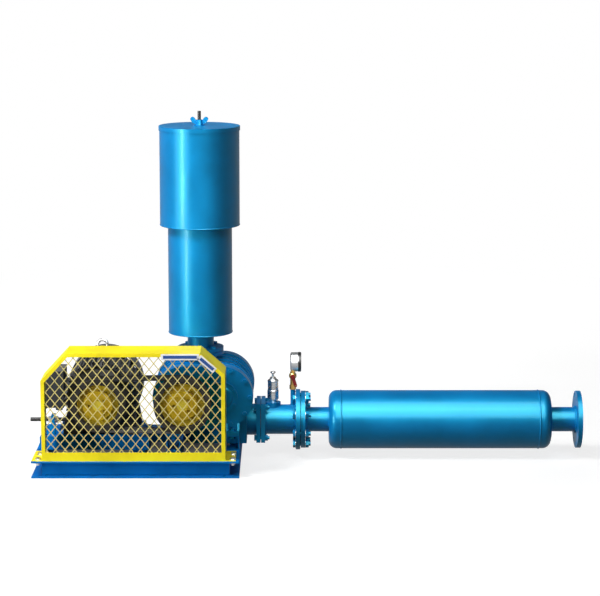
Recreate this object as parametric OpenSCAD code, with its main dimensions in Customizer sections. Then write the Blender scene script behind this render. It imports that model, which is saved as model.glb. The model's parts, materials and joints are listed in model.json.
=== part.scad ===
// Belt-driven three-lobe blower package: base, motor, blower, belt guard, intake and discharge silencers.
// Origin: centre of the four anchor holes, on the floor. +X runs along the discharge line, -Y faces the guard.

/* [Base] */
// Length of the base frame along X
base_l = 730; // [726:1:780]
// Width of the base frame along Y
base_w = 590; // [580:1:660]
// Height of the base channels
rail_h = 59; // [54:1:66]
// Flange width of the base channels
rail_w = 40; // [38:1:46]
// Thickness of the base channels
rail_t = 5; // [4:0.5:7]
// Distance of the anchor holes from the base ends
anchor_inset = 52; // [48:1:80]
// Diameter of the anchor holes
anchor_d = 14; // [10:0.5:16]
// Width of a cross beam
beam_w = 50; // [44:1:56]

/* [Belt drive] */
// Height of the motor and blower shafts above the floor
shaft_z = 249; // [245:1:260]
// Position of the motor shaft along X
motor_x = -133; // [-140:1:-128]
// Distance from the motor shaft to the driving rotor shaft
belt_span = 297; // [292:1:304]
// Outer diameter of the motor pulley
motor_pulley_d = 190; // [180:1:194]
// Outer diameter of the blower pulley
blower_pulley_d = 200; // [190:1:206]
// Width of the pulleys
pulley_w = 63; // [62:1:68]
// Front plane of the pulleys along Y
pulley_y = -249; // [-254:1:-240]
// Number of belts
belts = 3; // [2:1:3]
// Distance between two belts
belt_pitch = 19; // [19:0.5:20]
// Width of a belt across its back
belt_top = 17; // [15:0.5:17]
// Thickness of a belt
belt_h = 11; // [9:0.5:12]
// How far the belt back stands out of its groove
belt_proud = 1.5; // [1:0.5:2]
// Thickness of the pulley rim under the grooves
rim_t = 7; // [6:0.5:10]
// Thickness of the pulley web
web_t = 14; // [10:1:20]
// Diameter of the taper bushes
bush_d = 78; // [74:1:90]
// Travel of the motor toward the blower when the belts are changed
tension_travel = 25; // [10:1:26]

/* [Guard] */
// Distance of the guard's left side from the left end of the base
guard_left = 37; // [33:1:43]
// Distance of the guard's right side from the right end of the base
guard_right = 49; // [45:1:53]
// Top of the guard above the floor
guard_top = 444; // [430:1:455]
// Distance of the guard's front from the front edge of the base
guard_setback = 10; // [7:1:14]
// Back of the guard along Y
guard_y1 = -141; // [-160:1:-140]
// Sheet thickness of the guard
guard_t = 3; // [2:0.5:4]
// Width and drop of the left corner cut
cut_left = [90, 98];
// Width and drop of the right corner cut
cut_right = [86, 75];
// Width of the front lip at the sides and the top
lip = 13; // [10:1:18]
// Height of the front lip at the bottom
lip_low = 31; // [24:1:40]
// Width of the foot flanges
guard_foot = 36; // [34:1:37]
// Width of a mesh diamond
mesh_px = 33; // [28:1:40]
// Height of a mesh diamond
mesh_pz = 41; // [34:1:50]
// Width of a mesh strand
strand = 3; // [2:0.5:5]
// Thickness of the mesh
mesh_t = 2.5; // [2:0.5:4]

/* [Motor] */
// Height of the motor shaft above its feet
motor_h = 132; // [130:1:134]
// Outer diameter of the motor cowl
cowl_d = 272; // [262:1:276]
// Diameter over the fins
fin_d = 264; // [256:1:268]
// Diameter of the frame between the fins
frame_d = 232; // [226:1:240]
// Bore of the motor frame
stator_d = 208; // [200:1:212]
// Number of fins
fins = 44; // [30:2:48]
// Thickness of a fin
fin_t = 4; // [3:0.5:5]
// Front face of the motor along Y
motor_y = -170; // [-174:1:-166]
// Length of the front shield
shield_t = 46; // [42:1:50]
// Length of the motor frame
frame_l = 264; // [250:1:270]
// Length of the fan cowl
cowl_l = 110; // [100:1:118]
// Diameter of the motor shaft
motor_shaft_d = 38; // [34:1:42]
// Thickness of the motor slide plate
plate_t = 12; // [10:1:15]
// Diameter of the tension rod
rod_d = 14; // [12:1:16]
// Position of the tension rod along Y
rod_y = -45; // [-48:1:-30]

/* [Blower] */
// Height of the rotor shafts above the blower's feet
blower_h = 132; // [126:1:134]
// Distance between the two rotor shafts
rotor_pitch = 135; // [133:1:136]
// Length of the casing between its end plates
case_l = 220; // [210:1:226]
// Position of the casing's middle along Y
mid_y = 45; // [42:1:50]
// Wall of the casing round the rotors
case_wall = 15; // [14:0.5:17]
// How far the end flanges stand out of the casing
flange_lip = 7; // [6:0.5:9]
// Thickness of the end plates
end_t = 40; // [38:1:44]
// Thickness of the bearing caps
cap_t = 12; // [10:1:14]
// Diameter of the bearing caps
cap_d = 114; // [108:1:120]
// Running gap between a rotor and the casing
rotor_gap = 0.3; // [0.25:0.05:0.4]
// Diameter of the rotor shafts
shaft_d = 40; // [36:1:42]
// Outer diameter of the shaft bearings
bearing_d = 90; // [86:1:96]
// Width of the shaft bearings
bearing_w = 23; // [20:1:26]
// Number of teeth on a timing gear
teeth = 27; // [25:2:29]
// Width of a timing gear
gear_w = 30; // [24:1:34]
// Length of the gear case
gearcase_l = 84; // [80:1:92]
// Number of bolts round each end of a casing flange
case_bolts = 5; // [4:1:6]
// Width of a blower foot
foot_w = 50; // [44:1:56]
// Distance between the centres of the left and right feet
foot_span = 211; // [208:1:216]

/* [Intake] */
// How far the inlet port lies off the middle of the rotors, toward the motor
port_offset = 12; // [0:1:14]
// Height of the inlet flange joint above the floor
inlet_z = 394; // [390:1:402]
// Outer diameter of the inlet neck
neck_d = 95; // [88:1:100]
// Diameter of the inlet flanges
inlet_flange_d = 165; // [160:1:170]
// Thickness of the inlet flanges
inlet_flange_t = 12; // [10:1:14]
// Bottom of the lower intake drum
drum_z = 460; // [455:1:470]
// Length of the lower intake drum
drum_h = 446; // [430:1:460]
// Diameter of the lower intake drum
drum_d = 230; // [220:1:240]
// Diameter of the rain hood
hood_d = 286; // [280:1:300]
// Bottom edge of the hood
hood_z = 852; // [840:1:860]
// Top edge of the hood
hood_top = 1206; // [1190:1:1220]
// Sheet thickness of drum and hood
sheet = 2; // [1.5:0.5:3]
// Depth of the lid rim
lid_rim = 14; // [10:1:20]
// How far the lid lifts off
lid_lift = 40; // [20:1:44]
// Diameter of the hood stud
stud_d = 12; // [10:1:14]

/* [Discharge] */
// Outer diameter of the discharge pipe
pipe_d = 108; // [100:1:112]
// Wall of the discharge pipe
pipe_wall = 4; // [3:0.5:6]
// Height of the discharge line above the floor
pipe_z = 136; // [134:1:140]
// Width of the square flanges
square_w = 143; // [138:1:146]
// Thickness of a square flange
square_t = 15; // [12:1:18]
// Distance from the driven rotor's shaft to the joint of the square flanges
spur_l = 137; // [135:1:145]
// Length from the square flange joint to the round flange joint
pipe_l = 144; // [138:1:154]
// Diameter of the pipe flange
pipe_flange_d = 220; // [214:1:226]
// Diameter of the silencer flanges
silencer_flange_d = 208; // [206:1:214]
// Thickness of the round flanges
flange_t = 16; // [14:1:20]
// Bolt circle of the round flanges
flange_pcd = 180; // [176:1:180]
// Diameter of the flange bolt holes
flange_hole = 18; // [17:0.5:19]
// Diameter of the bolt holes where pipe and silencer join, a closer fit on the same bolts
joint_hole = 17.5; // [17:0.5:17.5]
// Thickness of the gaskets
gasket_t = 2; // [1:0.5:3]
// Diameter of the silencer
silencer_d = 212; // [204:1:220]
// Length of the inlet stub from the round flange joint to the silencer
inlet_stub_l = 104; // [96:1:120]
// Length of the silencer
silencer_l = 806; // [780:1:830]
// Diameter of the silencer stubs
stub_d = 89; // [80:1:96]
// Length of the outlet stub up to its flange
stub_l = 93; // [92:1:110]
// Distance of the relief valve from the square flange joint
relief_out = 45; // [42:1:52]
// Diameter of the relief valve
relief_d = 41; // [38:1:46]
// Height of the relief valve body
relief_h = 77; // [70:1:84]
// Lift of the relief valve disc
relief_lift = 6; // [3:1:7]
// Distance of the gauge from the square flange joint
gauge_out = 117; // [110:1:118]
// Diameter of the gauge
gauge_d = 72; // [64:1:76]
// Centre of the gauge above the pipe's axis
gauge_h = 213; // [210:1:222]

/* [Hidden] */
$fn = 96;
// Clearance of a press seat, of a running shaft, and between bodies that move apart
press = 0.04;
running = 0.06;
clear = 0.4;

guard_foot_z = rail_h;
guard_x0 = -base_l / 2 + guard_left;
guard_x1 = base_l / 2 - guard_right;
guard_y0 = -base_w / 2 + guard_setback;
drive_x = motor_x + belt_span;
driven_x = drive_x + rotor_pitch;
rotor_mid = (drive_x + driven_x) / 2;
inlet_x = rotor_mid - port_offset;
square_x = driven_x + spur_l;
joint_x = square_x + pipe_l;
silencer_x = joint_x + inlet_stub_l;
relief_x = square_x + relief_out;
gauge_x = square_x + gauge_out;
motor_foot_z = shaft_z - motor_h;
slide_rail_h = motor_foot_z - plate_t - rail_h - 0.3;
rotor_tip = rotor_pitch / 2 * 4 / 3;
case_bore = rotor_tip + rotor_gap;
case_r = case_bore + case_wall;
plate_r = case_r + flange_lip;
case_y0 = mid_y - case_l / 2;
case_y1 = mid_y + case_l / 2;
front_y = case_y0 - end_t;
rear_y = case_y1 + end_t;
bearing_in = 5;
bolt_ring = case_bore + (plate_r - case_bore) / 2;
foot_z = shaft_z - blower_h;
foot_t = 15;
beam_x = [rotor_mid - foot_span / 2, 0];
shield_y = motor_y + shield_t;
frame_y1 = shield_y + frame_l;
plate_left = 157;
plate_right = 148;
lug_out = 129;
bracket_out = 183;
carriage_x0 = motor_x - plate_left;
carriage_x1 = motor_x + plate_right;
lug_x = motor_x - lug_out;
lug_t = 12;
bracket_x = motor_x - bracket_out;
bracket_t = 12;
rod_rise = 39;
rod_z = motor_foot_z + rod_rise;
front_bolt_in = 28;
rear_bolt_in = 58;
slide_y = [shield_y + front_bolt_in + 6, frame_y1 - rear_bolt_in];
slide_w = 40;
pipe_top = pipe_z + pipe_d / 2;
hood_r = hood_d / 2;
drum_r = drum_d / 2;
drum_top = drum_z + drum_h;
lid_top = hood_top + 8;
filter_z0 = drum_top + 4;
filter_z1 = hood_top - 16;
stub_r = stub_d / 2;
silencer_r = silencer_d / 2;
silencer_x1 = silencer_x + silencer_l;
end_face = silencer_x1 + stub_l + flange_t;
gauge_z = pipe_z + gauge_h;

// Extrudes a profile in X and Z along Y
module slab_y(y0, y1) {
    translate([0, y1, 0]) rotate([90, 0, 0]) linear_extrude(y1 - y0) children();
}

// Extrudes a profile in Y and Z along X
module slab_x(x0, x1) {
    translate([x0, 0, 0]) rotate([90, 0, 90]) linear_extrude(x1 - x0) children();
}

module rod_along_y(r, y0, y1) {
    translate([0, y0, 0]) rotate([-90, 0, 0]) cylinder(r = r, h = y1 - y0);
}

module rod_along_x(r, x0, x1) {
    translate([x0, 0, 0]) rotate([0, 90, 0]) cylinder(r = r, h = x1 - x0);
}

// Turns a profile of radius and length round the X axis
module turned_x() {
    rotate([0, 90, 0]) rotate_extrude() children();
}

// Turns a profile of radius and length round the Y axis
module turned_y() {
    rotate([-90, 0, 0]) rotate_extrude() children();
}

module ring(r_out, r_in, h) {
    difference() {
        cylinder(r = r_out, h = h);
        translate([0, 0, -1]) cylinder(r = r_in, h = h + 2);
    }
}

module box(x, y, z) {
    translate([x[0], y[0], z[0]]) cube([x[1] - x[0], y[1] - y[0], z[1] - z[0]]);
}

// Hexagon bolt along +Z with its head below z = 0 and, with a grip, a nut beyond it
module hex_bolt(d, length, grip = 0) {
    head_h = d * 0.65;
    translate([0, 0, -head_h]) cylinder(r = d * 0.9, h = head_h, $fn = 6);
    translate([0, 0, -0.1]) cylinder(d = d, h = length + 0.1);
    if (grip > 0) translate([0, 0, grip]) cylinder(r = d * 0.9, h = d * 0.8, $fn = 6);
}

// One side of the base: an outward-facing channel with mitred ends, its back to the middle of the frame
module mitred_layer(length, from, to, z0, z1) {
    half = length / 2;
    translate([0, 0, z0]) linear_extrude(z1 - z0)
        polygon([[-half + from, from], [half - from, from], [half - to, to], [-half + to, to]]);
}

module base_channel(length, holes = []) {
    difference() {
        union() {
            mitred_layer(length, 0, rail_w, 0, rail_t);
            mitred_layer(length, rail_w - rail_t, rail_w, rail_t, rail_h - rail_t);
            mitred_layer(length, 0, rail_w, rail_h - rail_t, rail_h);
        }
        for (x = holes) translate([x, rail_w / 2, -1]) cylinder(d = anchor_d, h = rail_t + 2);
    }
}

anchor_x = base_l / 2 - anchor_inset;
guard_bolt_front = guard_y0 + 13;

module guard_bolt_holes() {
    for (p = guard_bolt_points()) translate([p[0], p[1], rail_h - rail_t - 1]) cylinder(d = 11, h = rail_t + 2);
}

function guard_bolt_points() = [
    for (s = [-1, 1], y = [guard_bolt_front, (guard_y0 + guard_y1) / 2 + 18]) [s * (base_l / 2 - 23), y]];

// Channels along X at the front and the back, with the anchor holes
module base_long_rails() {
    color([0.02, 0.34, 0.6]) difference() {
        for (a = [0, 180]) rotate(a) translate([0, -base_w / 2, 0]) base_channel(base_l, [-anchor_x, anchor_x]);
        guard_bolt_holes();
    }
}

module base_short_rails() {
    color([0.02, 0.34, 0.6]) difference() {
        for (a = [-90, 90]) rotate(a) translate([0, -base_l / 2, 0]) base_channel(base_w);
        guard_bolt_holes();
    }
}

// Beams along Y between the front and rear rails, open at the bottom
module cross_beams() {
    half = base_w / 2 - rail_w;
    color([0.02, 0.34, 0.6]) for (x = beam_x) translate([x, 0, 0]) slab_y(-half, half) difference() {
        translate([-beam_w / 2, 0]) square([beam_w, rail_h]);
        translate([-beam_w / 2 + rail_t, -1]) square([beam_w - 2 * rail_t, rail_h - rail_t + 1]);
    }
}

foot_out = 30;
foot_len = 70;
foot_front = [front_y - foot_out, front_y - foot_out + foot_len];
foot_rear = [rear_y + foot_out - foot_len, rear_y + foot_out];
foot_xs = [rotor_mid - foot_span / 2, rotor_mid + foot_span / 2];

function foot_bolt_points() = [
    for (x = foot_xs, y = [foot_front[0] + foot_out / 2, foot_rear[1] - foot_out / 2]) [x, y]];

// Box-section blocks that carry the feet of the blower
module blower_pedestals() {
    color([0.02, 0.36, 0.62]) difference() {
        for (x = foot_xs, y = [foot_front, foot_rear]) translate([x, 0, 0]) slab_y(y[0], y[1]) difference() {
            translate([-foot_w / 2, rail_h]) square([foot_w, foot_z - rail_h]);
            translate([-foot_w / 2 + rail_t, rail_h + rail_t])
                square([foot_w - 2 * rail_t, foot_z - rail_h - 2 * rail_t]);
        }
        for (p = foot_bolt_points()) translate([p[0], p[1], foot_z - rail_t - 1]) cylinder(d = 13, h = rail_t + 2);
    }
}

// Two channels along X on which the motor slides
module motor_slide_rails() {
    color([0.02, 0.34, 0.6]) for (y = slide_y) translate([0, y, rail_h])
        slab_x(-base_l / 2 + 12, carriage_x1 + tension_travel - 3) difference() {
            translate([-slide_w / 2, 0]) square([slide_w, slide_rail_h]);
            translate([-slide_w / 2 + rail_t, rail_t]) square([slide_w, slide_rail_h - 2 * rail_t]);
        }
}

// Upright plate on the left rail through which the tension rod passes
module tension_bracket() {
    color([0.02, 0.36, 0.62]) difference() {
        union() {
            box([-base_l / 2 + 2, bracket_x + bracket_t], [rod_y - 22, rod_y + 22], [rail_h, rail_h + 6]);
            box([bracket_x, bracket_x + bracket_t], [rod_y - 22, rod_y + 22], [rail_h + 6, rod_z + 18]);
            slab_y(rod_y - 20, rod_y - 14) polygon([[bracket_x, rail_h + 6], [bracket_x, rod_z - 16],
                [-base_l / 2 + 8, rail_h + 6]]);
        }
        translate([0, rod_y, rod_z]) rod_along_x(rod_d / 2 + 1, bracket_x - 1, bracket_x + bracket_t + 1);
    }
}

module tension_nuts() {
    color([0.8, 0.8, 0.78]) for (x = [bracket_x - rod_d * 0.8, bracket_x + bracket_t])
        translate([x, rod_y, rod_z]) rotate([0, 90, 0]) difference() {
            cylinder(r = rod_d * 0.9, h = rod_d * 0.8, $fn = 6);
            translate([0, 0, -1]) cylinder(r = rod_d / 2 + clear, h = rod_d);
        }
}

// Outline of the guard, drawn a step inside its outer faces
function guard_outline(side, low) = [
    [guard_x0 + side, guard_foot_z + low],
    [guard_x1 - side, guard_foot_z + low],
    [guard_x1 - side, guard_top - cut_right[1] - side * corner_step(cut_right[1], cut_right[0])],
    [guard_x1 - cut_right[0] - side * corner_step(cut_right[0], cut_right[1]), guard_top - side],
    [guard_x0 + cut_left[0] + side * corner_step(cut_left[0], cut_left[1]), guard_top - side],
    [guard_x0 + side, guard_top - cut_left[1] - side * corner_step(cut_left[1], cut_left[0])]];

// Shift of a corner along its edge when both edges move in by one
function corner_step(run, rise) = tan(atan2(rise, run) / 2);

module guard_frame() {
    color([0.98, 0.84, 0.1]) difference() {
        union() {
            slab_y(guard_y0, guard_y1) difference() {
                polygon(guard_outline(0, 0));
                polygon(guard_outline(guard_t, -1));
            }
            slab_y(guard_y0, guard_y0 + guard_t) difference() {
                polygon(guard_outline(0, 0));
                polygon(guard_outline(lip, lip_low));
            }
            box([guard_x0 - guard_foot, guard_x0 + 1], [guard_y0, guard_y1], [guard_foot_z, guard_foot_z + guard_t]);
            box([guard_x1 - 1, guard_x1 + guard_foot], [guard_y0, guard_y1], [guard_foot_z, guard_foot_z + guard_t]);
        }
        for (p = guard_bolt_points()) translate([p[0], p[1], guard_foot_z - 1]) cylinder(d = 11, h = guard_t + 2);
    }
}

// Points of a polygon that lie left of the line from a to b, with the crossings added
function side_of(p, a, b) = (b[0] - a[0]) * (p[1] - a[1]) - (b[1] - a[1]) * (p[0] - a[0]);
function crossing(p, q, a, b) = p + (q - p) * side_of(p, a, b) / (side_of(p, a, b) - side_of(q, a, b));
function clip_line(pts, a, b) = [
    for (i = [0:1:len(pts) - 1]) let (
        p = pts[i], q = pts[(i + 1) % len(pts)], sp = side_of(p, a, b), sq = side_of(q, a, b)
    ) each concat(sp >= 0 ? [p] : [], sp * sq < 0 ? [crossing(p, q, a, b)] : [])];
function clip_window(pts, window, i = 0) = i == len(window) || len(pts) < 3 ? pts
    : clip_window(clip_line(pts, window[i], window[(i + 1) % len(window)]), window, i + 1);
function area(pts, i = 0) = i >= len(pts) ? 0
    : (pts[i][0] * pts[(i + 1) % len(pts)][1] - pts[(i + 1) % len(pts)][0] * pts[i][1]) / 2 + area(pts, i + 1);

// Diamond openings of the expanded mesh, cut off at the lip of the frame
function mesh_holes() =
    let (window = guard_outline(lip - 1, lip_low - 1), hx = mesh_px / 2 - strand * 0.6, hz = mesh_pz / 2 - strand * 0.75,
        nx = ceil((guard_x1 - guard_x0) / mesh_px) + 1, nz = ceil((guard_top - guard_foot_z) / mesh_pz) + 1)
    [for (k = [0:1:2 * nz], i = [0:1:nx]) let (
            cx = guard_x0 + (i + (k % 2) / 2) * mesh_px, cz = guard_foot_z + k * mesh_pz / 2,
            cut = clip_window([[cx, cz - hz], [cx + hx, cz], [cx, cz + hz], [cx - hx, cz]], window)
        ) if (len(cut) > 2 && area(cut) > 60) cut];

module guard_mesh() {
    sheet_edge = guard_outline(guard_t + clear, guard_t + 4);
    holes = mesh_holes();
    starts = [for (i = 0, n = len(sheet_edge); i < len(holes); n = n + len(holes[i]), i = i + 1) n];
    all_points = concat(sheet_edge, [for (h = holes) each h]);
    paths = concat([[for (i = [0:1:len(sheet_edge) - 1]) i]],
        [for (i = [0:1:len(holes) - 1]) [for (k = [0:1:len(holes[i]) - 1]) starts[i] + k]]);
    color([0.98, 0.86, 0.2]) slab_y(guard_y0 + guard_t, guard_y0 + guard_t + mesh_t) polygon(all_points, paths);
}

module guard_bolts() {
    top = guard_foot_z + guard_t;
    color([0.85, 0.85, 0.83]) for (p = guard_bolt_points()) translate([p[0], p[1], top]) rotate([180, 0, 0])
        hex_bolt(10, guard_t + rail_t + 12, guard_t + rail_t);
}

// Plate that carries the motor, with the upright lug of the tension rod
module motor_slide_plate() {
    color([0.02, 0.36, 0.62]) difference() {
        union() {
            box([carriage_x0, carriage_x1], [slide_y[0] - 32, slide_y[1] + 26],
                [motor_foot_z - plate_t, motor_foot_z]);
            box([lug_x, lug_x + lug_t], [rod_y - 20, rod_y + 20], [motor_foot_z, rod_z + 16]);
        }
        translate([0, rod_y, rod_z]) rod_along_x(rod_d / 2 + press, lug_x - 1, lug_x + lug_t + 1);
        for (p = motor_bolt_points()) translate([p[0], p[1], motor_foot_z - plate_t - 1])
            cylinder(d = 13, h = plate_t + 2);
    }
}

module tension_rod() {
    color([0.1, 0.1, 0.11]) translate([0, rod_y, rod_z]) {
        rod_along_x(rod_d / 2, bracket_x - 51 - tension_travel, lug_x + lug_t + 1);
        for (x = [lug_x - rod_d / 2, lug_x + lug_t]) translate([x, 0, 0]) rotate([0, 90, 0])
            cylinder(r = rod_d * 0.9, h = rod_d / 2, $fn = 6);
    }
}

motor_bolt_x = 108;
motor_bolt_y = [shield_y + front_bolt_in, frame_y1 - rear_bolt_in];

function motor_bolt_points() = [
    for (x = [motor_x - motor_bolt_x, motor_x + motor_bolt_x], y = motor_bolt_y) [x, y]];

// Round outline with evenly spaced straight fins
function finned(n, r_root, r_tip, t) = [
    for (i = [0:1:n - 1]) let (a = i * 360 / n + 180 / n) each [
        for (c = [[r_root, -1], [r_tip, -1], [r_tip, 1], [r_root, 1]])
            [c[0] * cos(a) - c[1] * t / 2 * sin(a), c[0] * sin(a) + c[1] * t / 2 * cos(a)]]];

module motor_frame() {
    color([0.3, 0.32, 0.34]) difference() {
        union() {
            translate([motor_x, 0, shaft_z]) slab_y(shield_y + 12, frame_y1 - 12)
                polygon(finned(fins, frame_d / 2, fin_d / 2, fin_t));
            translate([motor_x, 0, shaft_z]) rod_along_y(frame_d / 2 + 3, shield_y, shield_y + 14);
            translate([motor_x, 0, shaft_z]) rod_along_y(frame_d / 2 + 3, frame_y1 - 14, frame_y1);
            for (s = [-1, 1], y = motor_bolt_y) {
                box([motor_x + s * motor_bolt_x - 26, motor_x + s * motor_bolt_x + 26], [y - 24, y + 24],
                    [motor_foot_z, motor_foot_z + 14]);
                for (web = [-24, 17]) slab_y(y + web, y + web + 7) polygon([[motor_x + s * 134, motor_foot_z + 13],
                    [motor_x + s * 60, motor_foot_z + 13], [motor_x + s * 60, shaft_z - 60],
                    [motor_x + s * 112, shaft_z - 34], [motor_x + s * 122, shaft_z - 60]]);
            }
        }
        translate([motor_x, 0, shaft_z]) rod_along_y(stator_d / 2, shield_y - 1, frame_y1 + 1);
        for (p = motor_bolt_points()) translate([p[0], p[1], motor_foot_z - 1]) cylinder(d = 13, h = 16);
    }
}

motor_bearing_d = 80;

// Bearing shields at the two ends of the motor
module motor_shields() {
    r = frame_d / 2 + 3;
    bore = motor_bearing_d / 2 + press;
    color([0.34, 0.36, 0.38]) translate([motor_x, motor_y, shaft_z]) {
        turned_y() polygon([[motor_shaft_d / 2 + 1, 0], [52, 0], [58, 8], [r - 26, 16], [r - 6, 24], [r, 30],
            [r, shield_t], [stator_d / 2, shield_t], [stator_d / 2, 36], [bore + 10, 28], [bore + 10, 40],
            [bore, 40], [bore, 12], [motor_shaft_d / 2 + 1, 12]]);
        for (i = [0:1:5]) rotate([0, 30 + i * 60, 0]) box([60, r - 12], [11, 24], [-4, 4]);
    }
    color([0.34, 0.36, 0.38]) translate([motor_x, frame_y1, shaft_z]) turned_y()
        polygon([[bore, 0], [bore, 20], [motor_shaft_d / 2 + 1, 20], [motor_shaft_d / 2 + 1, 24], [r - 8, 24],
            [r, 18], [r, 0]]);
}

cowl_y = frame_y1 + 2;

// Fan cowl: a deep cap with a ring of air slots in its end
module fan_cowl() {
    r = cowl_d / 2;
    inner = fin_d / 2 + 0.3;
    color([0.22, 0.24, 0.26]) translate([motor_x, cowl_y - 30, shaft_z]) difference() {
        turned_y() polygon([[inner, 0], [r, 0], [r, cowl_l - 14], [r - 14, cowl_l], [0, cowl_l], [0, cowl_l - 3],
            [inner - 11, cowl_l - 3], [inner, cowl_l - 14]]);
        for (i = [0:1:15], q = [0, 1]) rotate([0, i * 22.5, 0])
            box([34 + q * 42, 70 + q * 42], [cowl_l - 5, cowl_l + 2], [-4 - q * 3, 4 + q * 3]);
    }
}

box_reach = 210;
box_drop = 50;
box_rise = 84;
box_y = [-box_drop, box_rise];
box_x0 = motor_x - box_reach;
box_z = [shaft_z - box_drop, shaft_z + box_rise];

module terminal_box() {
    color([0.3, 0.32, 0.34]) difference() {
        slab_y(box_y[0], box_y[1]) polygon([[box_x0 + 12, box_z[0]], [motor_x - frame_d / 2 - 22, box_z[0]],
            [motor_x - frame_d / 2 - 22, box_z[1]], [box_x0 + 40, box_z[1]], [box_x0 + 12, box_z[1] - 34]]);
        slab_y(box_y[0] + 5, box_y[1] - 5) polygon([[box_x0 + 10, box_z[0] + 5],
            [motor_x - frame_d / 2 - 27, box_z[0] + 5], [motor_x - frame_d / 2 - 27, box_z[1] - 5],
            [box_x0 + 44, box_z[1] - 5], [box_x0 + 10, box_z[1] - 38]]);
    }
    color([0.3, 0.32, 0.34]) translate([motor_x, 0, shaft_z]) difference() {
        box([-frame_d / 2 - 23, -frame_d / 2 + 8], [box_y[0] + 25, box_y[1] - 25], [-20, 40]);
        rod_along_y(fin_d / 2 + 0.3, box_y[0], box_y[1]);
    }
    color([0.12, 0.12, 0.13]) translate([box_x0 + 46, box_y[0] + 90, box_z[0] - 26]) ring(13, 7, 26);
}

module terminal_lid() {
    color([0.27, 0.29, 0.31]) {
        box([box_x0, box_x0 + 12 - press], [box_y[0] - 2, box_y[1] + 2], [box_z[0] - 2, box_z[1] - 34]);
        for (y = [box_y[0] + 10, box_y[1] - 10], z = [box_z[0] + 10, box_z[1] - 46])
            translate([0, y, z]) rod_along_x(5, box_x0 - 3, box_x0 + 0.5);
    }
}

// Eye bolt on top of the motor frame
module lifting_eye() {
    eye_y = shield_y + 130;
    z = shaft_z + fin_d / 2;
    color([0.75, 0.75, 0.74]) translate([motor_x, eye_y, z]) {
        translate([0, 0, 40]) rotate([90, 0, 0]) rotate_extrude() translate([17, 0]) circle(r = 5.5);
        cylinder(r = 9, h = 25);
        cylinder(r = 15, h = 6);
    }
}

module motor_foot_bolts() {
    color([0.8, 0.8, 0.78]) for (p = motor_bolt_points()) translate([p[0], p[1], motor_foot_z + 14])
        rotate([180, 0, 0]) hex_bolt(12, 14 + plate_t);
}

rotor_core_d = 130;
stack_in = 52;
stack_l = 160;
stack_y = [shield_y + stack_in, shield_y + stack_in + stack_l];

// Laminated stack with its two end windings
module stator_core() {
    r = stator_d / 2 - press;
    color([0.45, 0.3, 0.2]) translate([motor_x, 0, shaft_z]) {
        turned_y() translate([rotor_core_d / 2 + 0.6, stack_y[0]])
            square([r - rotor_core_d / 2 - 0.6, stack_y[1] - stack_y[0]]);
        for (y = [stack_y[0] - 32, stack_y[1]]) turned_y() translate([rotor_core_d / 2 + 7, y]) square([24, 32]);
    }
}

// Ball bearing round the Y axis: two rings and a row of balls
module bearing(bore_r, outer_r, w, balls) {
    mid = (bore_r + outer_r) / 2;
    ball = (outer_r - bore_r) * 0.28;
    difference() {
        union() {
            turned_y() translate([bore_r, 0]) square([mid - ball * 0.4 - bore_r, w]);
            turned_y() translate([mid + ball * 0.4, 0]) square([outer_r - mid - ball * 0.4, w]);
        }
        translate([0, w / 2, 0]) rotate([-90, 0, 0]) rotate_extrude() translate([mid, 0])
            circle(r = ball + 0.15, $fn = 48);
    }
    for (i = [0:1:balls - 1]) rotate([0, i * 360 / balls, 0]) translate([mid, w / 2, 0]) sphere(r = ball, $fn = 48);
}

module motor_shaft() {
    r = motor_shaft_d / 2;
    color([0.62, 0.62, 0.6]) translate([motor_x, 0, shaft_z]) {
        rod_along_y(r, pulley_y + 4, cowl_y + cowl_l - 42);
        rod_along_y(rotor_core_d / 2, stack_y[0], stack_y[1]);
        for (y = [stack_y[0] - 10, stack_y[1]]) rod_along_y(rotor_core_d / 2 - 9, y, y + 10);
    }
}

// Two ball bearings of the motor
module motor_bearings() {
    r = motor_shaft_d / 2 + running;
    color([0.7, 0.7, 0.7]) for (y = [motor_y + 13, frame_y1 + 1]) translate([motor_x, y, shaft_z])
        bearing(r, motor_bearing_d / 2, 18, 8);
}

fan_in = 34;
fan_r = 108;
fan_blade = 26;

// Radial fan behind the motor
module cooling_fan() {
    y0 = cowl_y + fan_in;
    color([0.1, 0.1, 0.11]) translate([motor_x, 0, shaft_z]) difference() {
        union() {
            rod_along_y(28, y0 - 4, y0 + fan_blade);
            rod_along_y(fan_r - 18, y0, y0 + 3);
            for (i = [0:1:7]) rotate([0, i * 45, 0]) box([24, fan_r], [y0 + 1, y0 + fan_blade], [-2, 2]);
        }
        rod_along_y(motor_shaft_d / 2 + press, y0 - 6, y0 + fan_blade + 4);
    }
}

// V grooves and web of a pulley, as one turned profile
module pulley(d, bush_r) {
    r = d / 2;
    first = (pulley_w - (belts - 1) * belt_pitch) / 2;
    groove_top = belt_top / 2 + clear * 0.6;
    groove_bottom = groove_top * 0.62;
    depth = belt_h + 1.5;
    rim_r = r - depth - rim_t;
    web0 = (pulley_w - web_t) / 2;
    difference() {
        turned_y() difference() {
            union() {
                translate([rim_r, 0]) square([r - rim_r, pulley_w]);
                translate([bush_r, web0]) square([rim_r - bush_r + 1, web_t]);
                translate([bush_r, 4]) square([13, pulley_w - 8]);
            }
            for (i = [0:1:belts - 1]) translate([0, first + i * belt_pitch]) polygon([[r + 1, -groove_top],
                [r + 1, groove_top], [r - depth, groove_bottom], [r - depth, -groove_bottom]]);
        }
    }
}

module motor_pulley() {
    color([0.16, 0.16, 0.16]) translate([motor_x, pulley_y, shaft_z]) pulley(motor_pulley_d, bush_d / 2 + press);
    color([0.7, 0.7, 0.68]) translate([motor_x, pulley_y, shaft_z]) taper_bush(motor_shaft_d / 2 + press);
}

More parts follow.
